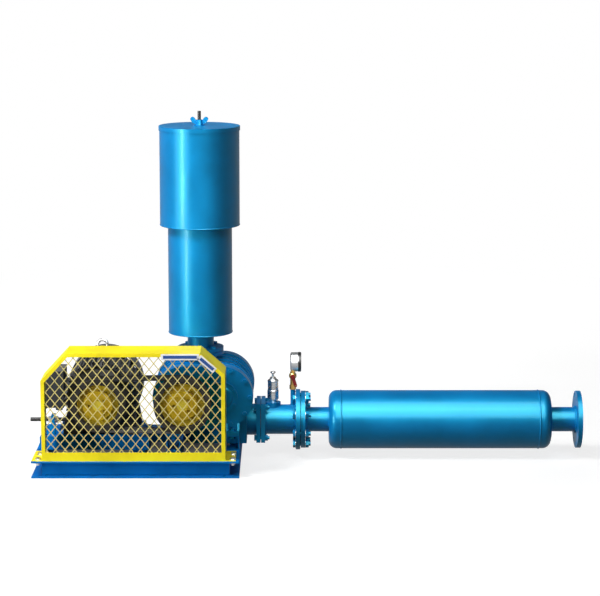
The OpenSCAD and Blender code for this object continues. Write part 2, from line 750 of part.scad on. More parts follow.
module blower_pulley() {
    color([0.16, 0.16, 0.16]) translate([drive_x, pulley_y, shaft_z]) pulley(blower_pulley_d, bush_d / 2 + press);
    color([0.7, 0.7, 0.68]) translate([drive_x, pulley_y, shaft_z]) taper_bush(shaft_d / 2 + press);
}

module taper_bush(bore_r) {
    difference() {
        rod_along_y(bush_d / 2, 2, pulley_w - 6);
        rod_along_y(bore_r, 0, pulley_w);
        for (a = [40, 180, 320]) rotate([0, a, 0]) translate([(bush_d / 2 + bore_r) / 2, 0, 0])
            rod_along_y(5, 0, 14);
    }
}

// Places round the two pulleys where the belt's section stands: shaft, radius and angle
function belt_loop(r1, r2, lean, steps) = concat(
    [for (i = [0:1:steps]) [0, r1, lean + (360 - 2 * lean) * i / steps]],
    [for (i = [0:1:steps]) [belt_span, r2, -lean + 2 * lean * i / steps]]);
function belt_section(x, r, a) = [
    for (q = [[belt_proud, -belt_top / 2], [belt_proud, belt_top / 2],
            [belt_proud - belt_h, belt_top * 0.3], [belt_proud - belt_h, -belt_top * 0.3]])
        [x + (r + q[0]) * cos(a), q[1], (r + q[0]) * sin(a)]];

// V belts: one closed sweep of the section for each groove
module v_belts() {
    r1 = motor_pulley_d / 2;
    r2 = blower_pulley_d / 2;
    loop = belt_loop(r1, r2, acos((r1 - r2) / belt_span), 24);
    points = [for (s = loop) each belt_section(s[0], s[1], s[2])];
    walls = [for (i = [0:1:len(loop) - 1], k = [0:1:3]) let (a = 4 * i, b = 4 * ((i + 1) % len(loop)), n = (k + 1) % 4)
        each [[a + k, b + k, a + n], [a + n, b + k, b + n]]];
    first = pulley_y + (pulley_w - (belts - 1) * belt_pitch) / 2;
    color([0.05, 0.05, 0.05]) for (i = [0:1:belts - 1]) translate([motor_x, first + i * belt_pitch, shaft_z])
        polyhedron(points, walls);
}

// Outline with round ends over both rotor shafts
module over_rotors(r) {
    for (x = [drive_x, driven_x]) translate([x, shaft_z]) circle(r = r);
    translate([drive_x, shaft_z - r]) square([rotor_pitch, 2 * r]);
}

function bolt_angles() = [for (i = [0:1:case_bolts - 1]) -72 + i * 144 / (case_bolts - 1)];

// Bolt places round the casing's end flanges: two arcs and one pair on the straights
function case_bolt_points() = concat(
    [for (a = bolt_angles()) [driven_x + bolt_ring * cos(a), shaft_z + bolt_ring * sin(a)]],
    [for (a = bolt_angles()) [drive_x - bolt_ring * cos(a), shaft_z + bolt_ring * sin(a)]]);

module case_bolt_holes(y0, y1) {
    for (p = case_bolt_points()) translate([p[0], 0, p[1]]) rod_along_y(5.5, y0, y1);
}

chamber_y = [mid_y - 78, mid_y + 78];
chamber_z = rail_h + 5;
chamber_wall = 8;

module blower_casing() {
    spur_x = driven_x + case_bore - 6;
    inlet_boss_r = neck_d / 2 + 8;
    color([0.02, 0.37, 0.62]) difference() {
        union() {
            slab_y(case_y0, case_y1) over_rotors(case_r);
            for (y = [case_y0, case_y1 - 14]) slab_y(y, y + 14) over_rotors(plate_r);
            for (i = [1:1:3]) let (y = case_y0 + i * case_l / 4) slab_y(y - 3, y + 3) over_rotors(plate_r - 1);
            box([drive_x + 26, driven_x + case_r - 18], chamber_y, [chamber_z, shaft_z - 40]);
            translate([0, mid_y, pipe_z]) rod_along_x(pipe_d / 2 + 3, driven_x + case_r - 24, square_x);
            translate([0, mid_y, pipe_z]) slab_x(square_x - square_t, square_x)
                square([square_w, square_w], center = true);
            translate([inlet_x, mid_y, shaft_z + 60]) cylinder(r = inlet_boss_r, h = inlet_z - shaft_z - 62);
            translate([inlet_x, mid_y, inlet_z - inlet_flange_t]) cylinder(d = inlet_flange_d, h = inlet_flange_t);
        }
        for (x = [drive_x, driven_x]) translate([x, 0, shaft_z])
            rod_along_y(case_bore, case_y0 - 1, case_y1 + 1);
        translate([inlet_x, mid_y, shaft_z]) cylinder(d = neck_d - 2 * sheet, h = inlet_z - shaft_z + 1);
        box([rotor_mid - 33, rotor_mid + 33], [chamber_y[0] + 14, chamber_y[1] - 14], [chamber_z + 40, shaft_z - 30]);
        box([drive_x + 26 + chamber_wall, spur_x + 2], [chamber_y[0] + chamber_wall, chamber_y[1] - chamber_wall],
            [chamber_z + chamber_wall, shaft_z - case_bore - chamber_wall]);
        translate([0, mid_y, pipe_z]) rod_along_x(pipe_d / 2 - pipe_wall, spur_x, square_x + 1);
        case_bolt_holes(case_y0 - 1, case_y0 + 22);
        case_bolt_holes(case_y1 - 22, case_y1 + 1);
        square_bolt_holes(square_x - square_t - 1, square_x + 1);
        inlet_bolt_holes(inlet_z - inlet_flange_t - 1, inlet_z + 1);
    }
}

square_bolt = square_w / 2 - 15;
inlet_pcd = inlet_flange_d - 30;

module square_bolt_holes(x0, x1) {
    for (y = [-1, 1], z = [-1, 1]) translate([0, mid_y + y * square_bolt, pipe_z + z * square_bolt])
        rod_along_x(7, x0, x1);
}

module inlet_bolt_holes(z0, z1) {
    for (i = [0:1:3]) rotate_about_inlet(45 + i * 90) translate([inlet_pcd / 2, 0, z0]) cylinder(r = 7, h = z1 - z0);
}

module rotate_about_inlet(a) {
    translate([inlet_x, mid_y, 0]) rotate(a) children();
}

// End plate with bearing seats, feet and bolt holes; the plate's inner face lies at y = 0 and it grows along -Y
module end_plate() {
    seat = bearing_d / 2 + press;
    gusset_top = shaft_z - gearcase_r - 3;
    difference() {
        union() {
            slab_y(-end_t, 0) over_rotors(plate_r);
            for (x = foot_xs) {
                translate([x, 0, 0]) box([-foot_w / 2, foot_w / 2], [-end_t - foot_out, -end_t - foot_out + foot_len],
                    [foot_z, foot_z + foot_t]);
                translate([x, 0, 0]) box([-foot_w / 2, foot_w / 2], [-end_t, 0], [foot_z, shaft_z - 50]);
                for (s = [-1, 1]) translate([x + s * (foot_w / 2 - 4) - 4, 0, 0]) slab_x(0, 8)
                    polygon([[-end_t - 24, foot_z + foot_t - 1], [-end_t + 1, foot_z + foot_t - 1],
                        [-end_t + 1, gusset_top]]);
            }
        }
        for (x = [drive_x, driven_x]) translate([x, 0, shaft_z]) {
            rod_along_y(seat, -end_t - 1, -end_t + bearing_in + bearing_w);
            rod_along_y(shaft_d / 2 + 3, -end_t, 1);
        }
        case_bolt_holes(-end_t - 1, 1);
        for (x = foot_xs) translate([x, -end_t - foot_out / 2, foot_z - 1]) cylinder(d = 13, h = foot_t + 2);
        cap_bolt_holes(-end_t - 1, -end_t + 14);
    }
}

module cap_bolt_holes(y0, y1) {
    for (x = [drive_x, driven_x], i = [0:1:5]) translate([x, 0, shaft_z]) rotate([0, 30 + i * 60, 0])
        translate([cap_d / 2 - 6, 0, 0]) rod_along_y(3.5, y0, y1);
}

module drive_end_plate() {
    color([0.02, 0.36, 0.6]) translate([0, case_y0, 0]) end_plate();
}

module gear_end_plate() {
    color([0.02, 0.36, 0.6]) difference() {
        translate([0, case_y1, 0]) mirror([0, 1, 0]) end_plate();
        gearcase_bolt_holes(rear_y - 16, rear_y + 1);
    }
}

// Caps over the drive-end bearings: blind on the driven shaft, with a seal neck on the driving shaft
module bearing_caps() {
    r = cap_d / 2;
    spigot = bearing_d / 2 - 1;
    color([0.03, 0.4, 0.66]) difference() {
        union() {
            translate([driven_x, front_y, shaft_z]) turned_y() polygon([[0, -cap_t], [r - 22, -cap_t], [r - 16, -cap_t + 4],
                [r, -cap_t + 4], [r, 0], [spigot, 0], [spigot, bearing_in - 0.5], [spigot - 8, bearing_in - 0.5],
                [spigot - 8, -cap_t + 5], [0, -cap_t + 5]]);
            translate([drive_x, front_y, shaft_z]) turned_y() polygon([[shaft_d / 2 + 12, -cap_t - 8],
                [r - 16, -cap_t - 8], [r - 16, -cap_t + 4], [r, -cap_t + 4], [r, 0], [spigot, 0],
                [spigot, bearing_in - 0.5], [shaft_d / 2 + 1, bearing_in - 0.5], [shaft_d / 2 + 1, -2],
                [shaft_d / 2 + 12, -2]]);
        }
        translate([0, front_y, 0]) cap_bolt_holes(-cap_t - 1, 1);
    }
}

gearcase_r = bolt_ring - 11;
gearcase_bolt_r = gearcase_r - 5.5;

// Outline of the gear case over the two gears, a step inside its flange
module gearcase_outline(inset) {
    over_rotors(gearcase_r - inset);
}

function gearcase_bolt_points() = concat(
    [for (a = [-60, -20, 20, 60]) [driven_x + gearcase_bolt_r * cos(a), shaft_z + gearcase_bolt_r * sin(a)]],
    [for (a = [-60, -20, 20, 60]) [drive_x - gearcase_bolt_r * cos(a), shaft_z + gearcase_bolt_r * sin(a)]]);

module gearcase_bolt_holes(y0, y1) {
    for (p = gearcase_bolt_points()) translate([p[0], 0, p[1]]) rod_along_y(3.5, y0, y1);
}

// Oil-tight case over the timing gears: flanged shell with a filler hole and a sight-glass boss
module gear_case() {
    shell = 11.5;
    wall = 4;
    color([0.02, 0.37, 0.62]) difference() {
        union() {
            slab_y(rear_y, rear_y + gearcase_l - 8) gearcase_outline(shell);
            slab_y(rear_y + gearcase_l - 9, rear_y + gearcase_l) gearcase_outline(shell + 6);
            slab_y(rear_y, rear_y + 10) gearcase_outline(0);
            translate([rotor_mid, 0, shaft_z - 40]) rod_along_y(22, rear_y + gearcase_l - 6, rear_y + gearcase_l + 6);
            translate([rotor_mid, rear_y + gearcase_l / 2, shaft_z + gearcase_r - shell - 2]) cylinder(r = 14, h = 8);
        }
        slab_y(rear_y - 1, rear_y + gearcase_l - 9) gearcase_outline(shell + wall);
        translate([rotor_mid, 0, shaft_z - 40]) rod_along_y(15, rear_y + gearcase_l - 12, rear_y + gearcase_l + 8);
        gearcase_bolt_holes(rear_y - 1, rear_y + 11);
        translate([rotor_mid, rear_y + gearcase_l / 2, shaft_z + 50]) cylinder(r = 8, h = 60);
    }
}

// Sight glass and filler plug of the gear case
module oil_plugs() {
    top = shaft_z + gearcase_r - 11.5 + 6;
    color([0.75, 0.6, 0.25]) {
        translate([rotor_mid, rear_y + gearcase_l + 1, shaft_z - 40]) rod_along_y(15 - press, -6, 4);
        translate([rotor_mid, rear_y + gearcase_l / 2, top]) {
            cylinder(r = 11, h = 9, $fn = 6);
            translate([0, 0, -8]) cylinder(r = 8 - press, h = 9);
        }
    }
}

module blower_bolts() {
    color([0.12, 0.3, 0.42]) {
        for (p = case_bolt_points()) {
            translate([p[0], front_y, p[1]]) rotate([-90, 0, 0]) hex_bolt(10, end_t + 18);
            translate([p[0], rear_y, p[1]]) rotate([90, 0, 0]) hex_bolt(10, end_t + 18);
        }
        for (x = [drive_x, driven_x], i = [0:1:5]) translate([x, front_y - cap_t + 4, shaft_z])
            rotate([0, 30 + i * 60, 0]) translate([cap_d / 2 - 6, 0, 0]) rotate([-90, 0, 0]) hex_bolt(6, cap_t + 6);
        for (p = gearcase_bolt_points()) translate([p[0], rear_y + 10, p[1]]) rotate([90, 0, 0]) hex_bolt(6, 22);
        for (p = foot_bolt_points()) translate([p[0], p[1], foot_z + foot_t]) rotate([180, 0, 0])
            hex_bolt(12, foot_t + 14, foot_t + rail_t);
    }
}

// Four ball bearings that carry the rotors
module blower_bearings() {
    r = shaft_d / 2 + running;
    color([0.7, 0.7, 0.7]) for (x = [drive_x, driven_x]) {
        translate([x, front_y + bearing_in, shaft_z]) bearing(r, bearing_d / 2, bearing_w, 9);
        translate([x, rear_y - bearing_in - bearing_w, shaft_z]) bearing(r, bearing_d / 2, bearing_w, 9);
    }
}

// Three-lobe profile: lobes are epicycloids and valleys hypocycloids of one rolling circle, set back by a gap
function toward(p, q, d) = p + (q - p) / norm(q - p) * d;
function lobe_point(a, r, f0, t, back) = let (f = f0 + 60 * t, c = [cos(f), sin(f)],
    p = c * (a + r) - r * [cos(f0 + 420 * t), sin(f0 + 420 * t)]) toward(p, c * a, back);
function valley_point(a, r, f0, t, back) = let (f = f0 + 60 * t, c = [cos(f), sin(f)],
    p = c * (a - r) + r * [cos(f0 - 300 * t), sin(f0 - 300 * t)]) toward(p, c * a, -back);
function rotor_profile(a, r, n, back) = [
    for (k = [0:1:2]) each concat(
        [for (i = [0:1:n - 1]) lobe_point(a, r, k * 120 - 30, (i + 0.5) / n, back)],
        [for (i = [0:1:n - 1]) valley_point(a, r, k * 120 + 30, (i + 0.5) / n, back)])];

module rotor(y0, y1) {
    pitch_r = rotor_pitch / 2;
    slab_y(case_y0 + 0.5, case_y1 - 0.5) polygon(rotor_profile(pitch_r, pitch_r / 6, 14, 0.15));
    rod_along_y(shaft_d / 2, y0, y1);
    rod_along_y(shaft_d / 2 + 2, front_y + bearing_in + bearing_w + clear, rear_y - bearing_in - bearing_w - clear);
}

gear_y = rear_y + 14;

module drive_rotor() {
    color([0.5, 0.51, 0.52]) translate([drive_x, 0, shaft_z]) rotor(pulley_y + 4, gear_y + gear_w + 6);
}

module driven_rotor() {
    color([0.5, 0.51, 0.52]) translate([driven_x, 0, shaft_z]) rotor(front_y + 2, gear_y + gear_w + 6);
}

// Involute tooth: half-thickness angle of the tooth at radius r
function inv(a) = tan(a) * 180 / PI - a;
function tooth_half(z, pitch_r, r) = let (base_r = pitch_r * cos(20))
    90 / z + inv(20) - inv(acos(min(1, base_r / r)));

// Radius and angle of the points of one involute tooth, from root to root
function tooth_points(z, pitch_r, backlash, steps) = let (m = 2 * pitch_r / z, root = pitch_r - 1.25 * m,
        tip = pitch_r + 0.96 * m, low = max(root, pitch_r * cos(20)), up = [for (k = [0:1:steps]) k / steps],
        half = function(r) tooth_half(z, pitch_r, r) - backlash)
    concat([[root, -half(low)]], [for (k = up) let (r = low + (tip - low) * k) [r, -half(r)]],
        [for (k = up) let (r = tip - (tip - low) * k) [r, half(r)]], [[root, half(low)]]);
function gear_outline(z, pitch_r, backlash, steps) = [
    for (i = [0:1:z - 1], q = tooth_points(z, pitch_r, backlash, steps))
        q[0] * [cos(i * 360 / z + q[1]), sin(i * 360 / z + q[1])]];

// Spur timing gear with a webbed body, bored for the rotor shaft
module timing_gear() {
    difference() {
        slab_y(gear_y, gear_y + gear_w) polygon(gear_outline(teeth, rotor_pitch / 2, 0.12, 4));
        rod_along_y(shaft_d / 2 + press, gear_y - 1, gear_y + gear_w + 1);
        for (i = [0:1:4]) rotate([0, i * 72, 0]) translate([40, 0, 0]) rod_along_y(9, gear_y - 1, gear_y + gear_w + 1);
    }
}

module drive_gear() {
    color([0.55, 0.52, 0.45]) translate([drive_x, 0, shaft_z]) timing_gear();
}

module driven_gear() {
    color([0.55, 0.52, 0.45]) translate([driven_x, 0, shaft_z]) timing_gear();
}

neck_bore = neck_d / 2 - sheet;

// Flanged neck between the casing and the intake drum
module inlet_neck() {
    z0 = inlet_z + gasket_t;
    color([0.02, 0.37, 0.62]) difference() {
        translate([inlet_x, mid_y, 0]) rotate_extrude() polygon([[neck_bore, z0], [inlet_flange_d / 2, z0],
            [inlet_flange_d / 2, z0 + inlet_flange_t], [neck_d / 2, z0 + inlet_flange_t], [neck_d / 2, drum_z],
            [neck_bore, drum_z]]);
        inlet_bolt_holes(z0 - 1, z0 + inlet_flange_t + 1);
    }
}

// Lower drum of the intake silencer: shell, end plates and the perforated core tube
module intake_drum() {
    color([0.02, 0.36, 0.63]) translate([inlet_x, mid_y, drum_z]) difference() {
        rotate_extrude() {
            translate([drum_r - sheet, 0]) square([sheet, drum_h]);
            translate([neck_bore, 0]) square([sheet, drum_h]);
            for (z = [0, drum_h - sheet]) translate([neck_bore, z]) square([drum_r - neck_bore, sheet]);
        }
        for (k = [0:1:3], a = [0:90:270]) rotate(a + k * 45) translate([0, 0, 60 + k * (drum_h - 120) / 3])
            rotate([0, 90, 0]) cylinder(r = 9, h = neck_d / 2 + 5);
    }
}

module intake_packing() {
    color([0.75, 0.7, 0.5]) translate([inlet_x, mid_y, drum_z + sheet + 1])
        ring(drum_r - sheet - clear, neck_d / 2 + clear, drum_h - 2 * sheet - 2);
}

filter_r = 98;

// Pleated air filter between two end rings
module filter_element() {
    pleats = 36;
    color([0.9, 0.88, 0.8]) translate([inlet_x, mid_y, filter_z0]) {
        translate([0, 0, 8]) linear_extrude(filter_z1 - filter_z0 - 16) difference() {
            polygon([for (i = [0:1:2 * pleats - 1]) let (a = i * 180 / pleats, r = filter_r - 3 - (i % 2) * 18)
                [r * cos(a), r * sin(a)]]);
            circle(r = filter_r - 26);
        }
        ring(filter_r, neck_bore + 14, 8);
        translate([0, 0, filter_z1 - filter_z0 - 8]) ring(filter_r, stud_d / 2 + press, 8);
    }
}

// Rain hood round the filter, open below, on four brackets
module filter_hood() {
    color([0.02, 0.37, 0.64]) translate([inlet_x, mid_y, 0]) {
        translate([0, 0, hood_z]) ring(hood_r, hood_r - sheet, hood_top - hood_z);
        for (a = [45:90:315]) rotate(a) box([drum_r + press * 8, hood_r - sheet / 2], [-9, 9],
            [hood_z + 22, hood_z + 26]);
    }
}

// Stud that holds the lid, welded to a bar across the drum
module hood_stud() {
    bar = neck_bore + 11;
    color([0.78, 0.78, 0.76]) translate([inlet_x, mid_y, drum_top]) {
        box([-bar, bar], [-11, 11], [0, filter_z0 - drum_top - press]);
        cylinder(d = stud_d, h = lid_top + 6 + lid_lift - drum_top);
    }
}

lid_gap = 0.3;

// Pan lid of the hood
module hood_lid() {
    z0 = hood_top + lid_gap;
    color([0.02, 0.37, 0.64]) translate([inlet_x, mid_y, 0]) rotate_extrude() polygon([[stud_d / 2 + clear, z0],
        [hood_r + 0.6, z0], [hood_r + 0.6, z0 - lid_rim], [hood_r + 0.6 + sheet, z0 - lid_rim],
        [hood_r + 0.6 + sheet, z0 + sheet - 1], [hood_r + sheet - 1, z0 + sheet], [stud_d / 2 + clear, z0 + sheet]]);
}

// Wing nut with its washer on top of the lid
module wing_nut() {
    z0 = hood_top + lid_gap + sheet + lid_gap;
    bore = stud_d / 2 + clear;
    color([0.02, 0.4, 0.66]) translate([inlet_x, mid_y, z0]) {
        ring(20, bore, 2.5);
        translate([0, 0, 2.5]) difference() {
            union() {
                cylinder(r1 = 14, r2 = 11, h = 18);
                for (m = [0, 1]) mirror([m, 0, 0]) slab_y(-3, 3) {
                    polygon([[8, 2], [13, 1], [27, 10], [31, 19], [17, 25], [10, 14]]);
                    translate([24, 20]) circle(r = 8);
                }
            }
            translate([0, 0, -1]) cylinder(r = bore, h = 40);
        }
    }
}

pipe_bore = pipe_d / 2 - pipe_wall;
pipe_x0 = square_x + gasket_t;
boss_top = pipe_top + 11;
boss_r = 28;
nipple_top = pipe_top + 58;
nipple_r = 8.5;

// Holes of a round flange, straddling the vertical
module flange_bolt_holes(hole, x0, x1) {
    for (i = [0:1:7]) translate([0, mid_y, pipe_z]) rotate([22.5 + i * 45, 0, 0]) translate([0, 0, flange_pcd / 2])
        rod_along_x(hole / 2, x0, x1);
}

// Discharge pipe with a square and a round flange, a boss for the relief valve and a nipple for the gauge
module discharge_pipe() {
    color([0.02, 0.37, 0.64]) difference() {
        union() {
            translate([0, mid_y, pipe_z]) {
                rod_along_x(pipe_d / 2, pipe_x0, joint_x);
                rod_along_x(pipe_flange_d / 2, joint_x - flange_t, joint_x);
                slab_x(pipe_x0, pipe_x0 + square_t) square([square_w, square_w], center = true);
            }
            translate([relief_x, mid_y, pipe_top - 12]) cylinder(r = boss_r, h = boss_top - pipe_top + 12);
            translate([gauge_x, mid_y, pipe_top - 8]) cylinder(r = nipple_r, h = nipple_top - pipe_top + 8);
            translate([gauge_x, mid_y, pipe_top - 2]) cylinder(r = nipple_r + 1.5, h = 5);
        }
        translate([0, mid_y, pipe_z]) rod_along_x(pipe_bore, pipe_x0 - 1, joint_x + 1);
        translate([relief_x, mid_y, pipe_z]) cylinder(r = 11, h = pipe_d);
        translate([gauge_x, mid_y, pipe_z]) cylinder(r = 4, h = pipe_d * 2);
        square_bolt_holes(pipe_x0 - 1, pipe_x0 + square_t + 1);
        flange_bolt_holes(joint_hole, joint_x - flange_t - 1, joint_x + 1);
    }
}

// Flange gaskets and the lip seal of the driving shaft
module gaskets() {
    color([0.12, 0.12, 0.12]) {
        translate([inlet_x, mid_y, inlet_z]) ring(inlet_pcd / 2 - 8, neck_bore + 1, gasket_t);
        translate([square_x, mid_y, pipe_z]) rotate([0, 90, 0]) ring(square_w / 2 - 3, pipe_bore + 1, gasket_t);
        translate([joint_x, mid_y, pipe_z]) rotate([0, 90, 0]) ring(flange_pcd / 2 - 10, pipe_bore + 1, gasket_t);
        translate([drive_x, front_y - 18, shaft_z]) turned_y() difference() {
            translate([shaft_d / 2 + running, 0]) square([12 - running - press, 14]);
            translate([shaft_d / 2 + 4, 4]) square([5, 11]);
        }
    }
}

module flange_bolts() {
    square_grip = 2 * square_t + gasket_t;
    grip = 2 * flange_t + gasket_t;
    inlet_grip = 2 * inlet_flange_t + gasket_t;
    color([0.1, 0.33, 0.5]) {
        for (y = [-1, 1], z = [-1, 1]) translate([square_x - square_t, mid_y + y * square_bolt,
            pipe_z + z * square_bolt]) rotate([0, 90, 0]) hex_bolt(12, square_grip + 16, square_grip);
        for (i = [0:1:7]) translate([joint_x - flange_t, mid_y, pipe_z]) rotate([22.5 + i * 45, 0, 0])
            translate([0, 0, flange_pcd / 2]) rotate([0, 90, 0]) hex_bolt(16, grip + 20, grip);
        for (i = [0:1:3]) rotate_about_inlet(45 + i * 90)
            translate([inlet_pcd / 2, 0, inlet_z + gasket_t + inlet_flange_t]) rotate([180, 0, 0])
                hex_bolt(12, inlet_grip + 15, inlet_grip);
    }
}

relief_z0 = boss_top + 8;
relief_z1 = relief_z0 + relief_h;
relief_seat = relief_z0 + 8;
screw_r = 4;

// Spring-loaded relief valve: threaded neck, vented barrel with chamfered ends, and a lock collar for the screw
module relief_body() {
    r = relief_d / 2;
    color([0.8, 0.8, 0.82]) translate([relief_x, mid_y, 0]) difference() {
        union() {
            translate([0, 0, boss_top]) cylinder(r = 11, h = 9);
            translate([0, 0, relief_z0]) rotate_extrude() polygon([[0, 0], [r - 4, 0], [r, 4], [r, relief_h * 0.46],
                [r - 1.5, relief_h * 0.48], [r - 1.5, relief_h * 0.86], [r - 0.5, relief_h * 0.88],
                [r - 0.5, relief_h - 5], [r - 6, relief_h], [8.5, relief_h], [11, relief_h + 3],
                [11, relief_h + 6], [9, relief_h + 7], [0, relief_h + 7]]);
        }
        translate([0, 0, boss_top - 1]) cylinder(r = 7, h = relief_h);
        translate([0, 0, relief_seat]) cylinder(r = r - 5, h = relief_z1 - 7 - relief_seat);
        translate([0, 0, relief_seat]) cylinder(r = screw_r + clear, h = relief_h + 10);
        // each vent is turned about its own axis, so its seam meets the bore at an angle and not at the lowest point
        for (a = [45:90:315]) rotate(a) translate([0, 0, relief_seat + 40])
            rotate([0, 90, 0]) rotate(30) cylinder(r = 4, h = r + 2);
    }
}

disc_top = relief_seat + 0.3 + 5;
plate_z = relief_z1 - 7 - 8;

module relief_disc() {
    color([0.8, 0.65, 0.3]) translate([relief_x, mid_y, relief_seat + 0.3]) {
        cylinder(r = relief_d / 2 - 6.5, h = 5);
        cylinder(r = 4, h = plate_z - relief_seat - 1.3 - relief_lift);
    }
}

// Ring of points round the wire of a spring, n turns up
function coil_ring(r, wire, h, turns, i, per_turn, sides) = let (a = i * 360 / per_turn,
        z = wire + (h - 2 * wire) * i / (turns * per_turn))
    [for (k = [0:1:sides - 1]) let (q = r + wire * cos(k * 360 / sides))
        [q * cos(a), q * sin(a), z + wire * sin(k * 360 / sides)]];

module coil(r, wire, h, turns) {
    per_turn = 20;
    sides = 6;
    rings = turns * per_turn;
    points = [for (i = [0:1:rings]) each coil_ring(r, wire, h, turns, i, per_turn, sides)];
    walls = [for (i = [0:1:rings - 1], k = [0:1:sides - 1]) let (a = i * sides + k, b = i * sides + (k + 1) % sides)
        each [[a, a + sides, b], [b, a + sides, b + sides]]];
    polyhedron(points, concat(walls, [[for (k = [0:1:sides - 1]) k]],
        [[for (k = [sides - 1:-1:0]) rings * sides + k]]));
}

module relief_spring() {
    color([0.7, 0.7, 0.72]) translate([relief_x, mid_y, disc_top + 0.3]) coil(9, 1.4, plate_z - disc_top - 0.6, 7);
}

// Adjusting screw with its spring plate inside and its flared knob on top
module relief_knob() {
    knob_z = relief_z1 + 20;
    color([0.75, 0.75, 0.77]) translate([relief_x, mid_y, 0]) {
        translate([0, 0, plate_z]) cylinder(r = relief_d / 2 - 6.5, h = 4);
        translate([0, 0, plate_z + 3]) cylinder(r = screw_r, h = knob_z - plate_z - 2);
        translate([0, 0, knob_z]) rotate_extrude() polygon([[0, 0], [6.5, 0], [9.7, 3], [9.7, 6], [8.7, 7], [0, 7]]);
    }
}

cock_z = nipple_top + 50;
cock_stem_r = 4;
cock_gland = 22;

// Brass gauge cock between the nipple and the gauge
module gauge_cock() {
    color([0.8, 0.62, 0.25]) translate([gauge_x, mid_y, 0]) difference() {
        union() {
            translate([0, 0, nipple_top]) cylinder(r = 12, h = 16, $fn = 6);
            translate([0, 0, nipple_top + 15]) cylinder(r = 9.5, h = cock_z - nipple_top);
            translate([0, 0, cock_z]) sphere(r = 14);
            translate([0, 0, cock_z + 10]) cylinder(r = 7, h = gauge_z - gauge_d / 2 + 1 - press - cock_z - 10);
            translate([0, 0, cock_z]) rod_along_y(7.5, -cock_gland, 0);
        }
        translate([0, 0, cock_z]) rod_along_y(cock_stem_r + running, -cock_gland - 1, -8);
        translate([0, 0, nipple_top - 1]) cylinder(r = 3, h = 14);
    }
}

// Red lever with the stem that turns in the cock
module gauge_cock_lever() {
    plate = [-cock_gland - 3.6, -cock_gland - 0.6];
    color([0.8, 0.05, 0.05]) translate([gauge_x, mid_y, cock_z]) {
        rod_along_y(cock_stem_r, plate[0] - 0.4, -9);
        rod_along_y(6.5, plate[0] - 2.4, plate[1] - 2.4);
        rotate([0, -18, 0]) slab_y(plate[0], plate[1]) difference() {
            union() {
                circle(r = 8);
                polygon([[-6.5, 0], [6.5, 0], [5.5, -34], [-5.5, -34]]);
                translate([0, -34]) circle(r = 5.5);
            }
            translate([0, -34]) circle(r = 2);
        }
    }
}

gauge_x0 = gauge_x - 9.4;

// Case of the pressure gauge: a cup that faces along +X, its floor carries the dial
module gauge_case() {
    r = gauge_d / 2;
    color([0.82, 0.82, 0.8]) translate([gauge_x0, mid_y, gauge_z]) turned_x() polygon([[0, 0], [r - 6, 0], [r - 1, 4],
        [r - 1, 28], [r, 28], [r, 38], [r - 2, 40], [r - 6, 40], [r - 6, 33], [r - 4, 33], [r - 4, 24], [0, 24]]);
}

module gauge_pointer() {
    color([0.05, 0.05, 0.05]) translate([gauge_x0 + 26, mid_y, gauge_z]) {
        rod_along_x(3.5, 0, 2.5);
        rod_along_x(1.4, -1.6, 0.1);
        slab_x(0.4, 1.4) rotate(225 - 90) polygon([[-1.6, -9], [1.6, -9], [0.5, gauge_d / 2 - 9], [-0.5, gauge_d / 2 - 9]]);
    }
}

module gauge_glass() {
    color([0.8, 0.9, 0.95, 0.35]) translate([gauge_x0 + 30, mid_y, gauge_z])
        rod_along_x(gauge_d / 2 - 4 - press, 0, 3 - press);
}

silencer_corner = 29;
silencer_wall = 3;
bead_in = 44;
stub_bore = stub_r - 4;

// Half outline of the silencer shell with round ends, a step inside its outer face
module silencer_outline(inset) {
    r = silencer_corner - inset;
    translate([0, inset]) square([silencer_r - silencer_corner, silencer_l - 2 * inset]);
    translate([0, silencer_corner]) square([silencer_r - inset, silencer_l - 2 * silencer_corner]);
    for (x = [silencer_corner, silencer_l - silencer_corner]) translate([silencer_r - silencer_corner, x])
        circle(r = r);
}

// Discharge silencer: round-ended shell, core tube through it, stubs and two flanges
module discharge_silencer() {
    x0 = joint_x + gasket_t;
    color([0.02, 0.38, 0.66]) difference() {
        translate([0, mid_y, pipe_z]) union() {
            translate([silencer_x, 0, 0]) turned_x() {
                difference() {
                    union() {
                        silencer_outline(0);
                        for (x = [bead_in, silencer_l - bead_in]) translate([silencer_r - 1, x]) circle(r = 3);
                    }
                    silencer_outline(silencer_wall);
                }
            }
            rod_along_x(stub_r, x0, end_face);
            for (x = [x0, end_face - flange_t]) rod_along_x(silencer_flange_d / 2, x, x + flange_t);
        }
        translate([0, mid_y, pipe_z]) rod_along_x(stub_bore, x0 - 1, end_face + 1);
        for (k = [0:1:4], a = [0:90:270]) translate([silencer_x + 90 + k * (silencer_l - 180) / 4, mid_y, pipe_z])
            rotate([a + k * 45, 0, 0]) cylinder(r = 10, h = stub_r + 4);
        flange_bolt_holes(joint_hole, x0 - 1, x0 + flange_t + 1);
        flange_bolt_holes(flange_hole, end_face - flange_t - 1, end_face + 1);
    }
}

module silencer_packing() {
    color([0.75, 0.7, 0.5]) translate([silencer_x + silencer_corner, mid_y, pipe_z]) rotate([0, 90, 0])
        ring(silencer_r - silencer_wall - clear, stub_r + clear, silencer_l - 2 * silencer_corner);
}

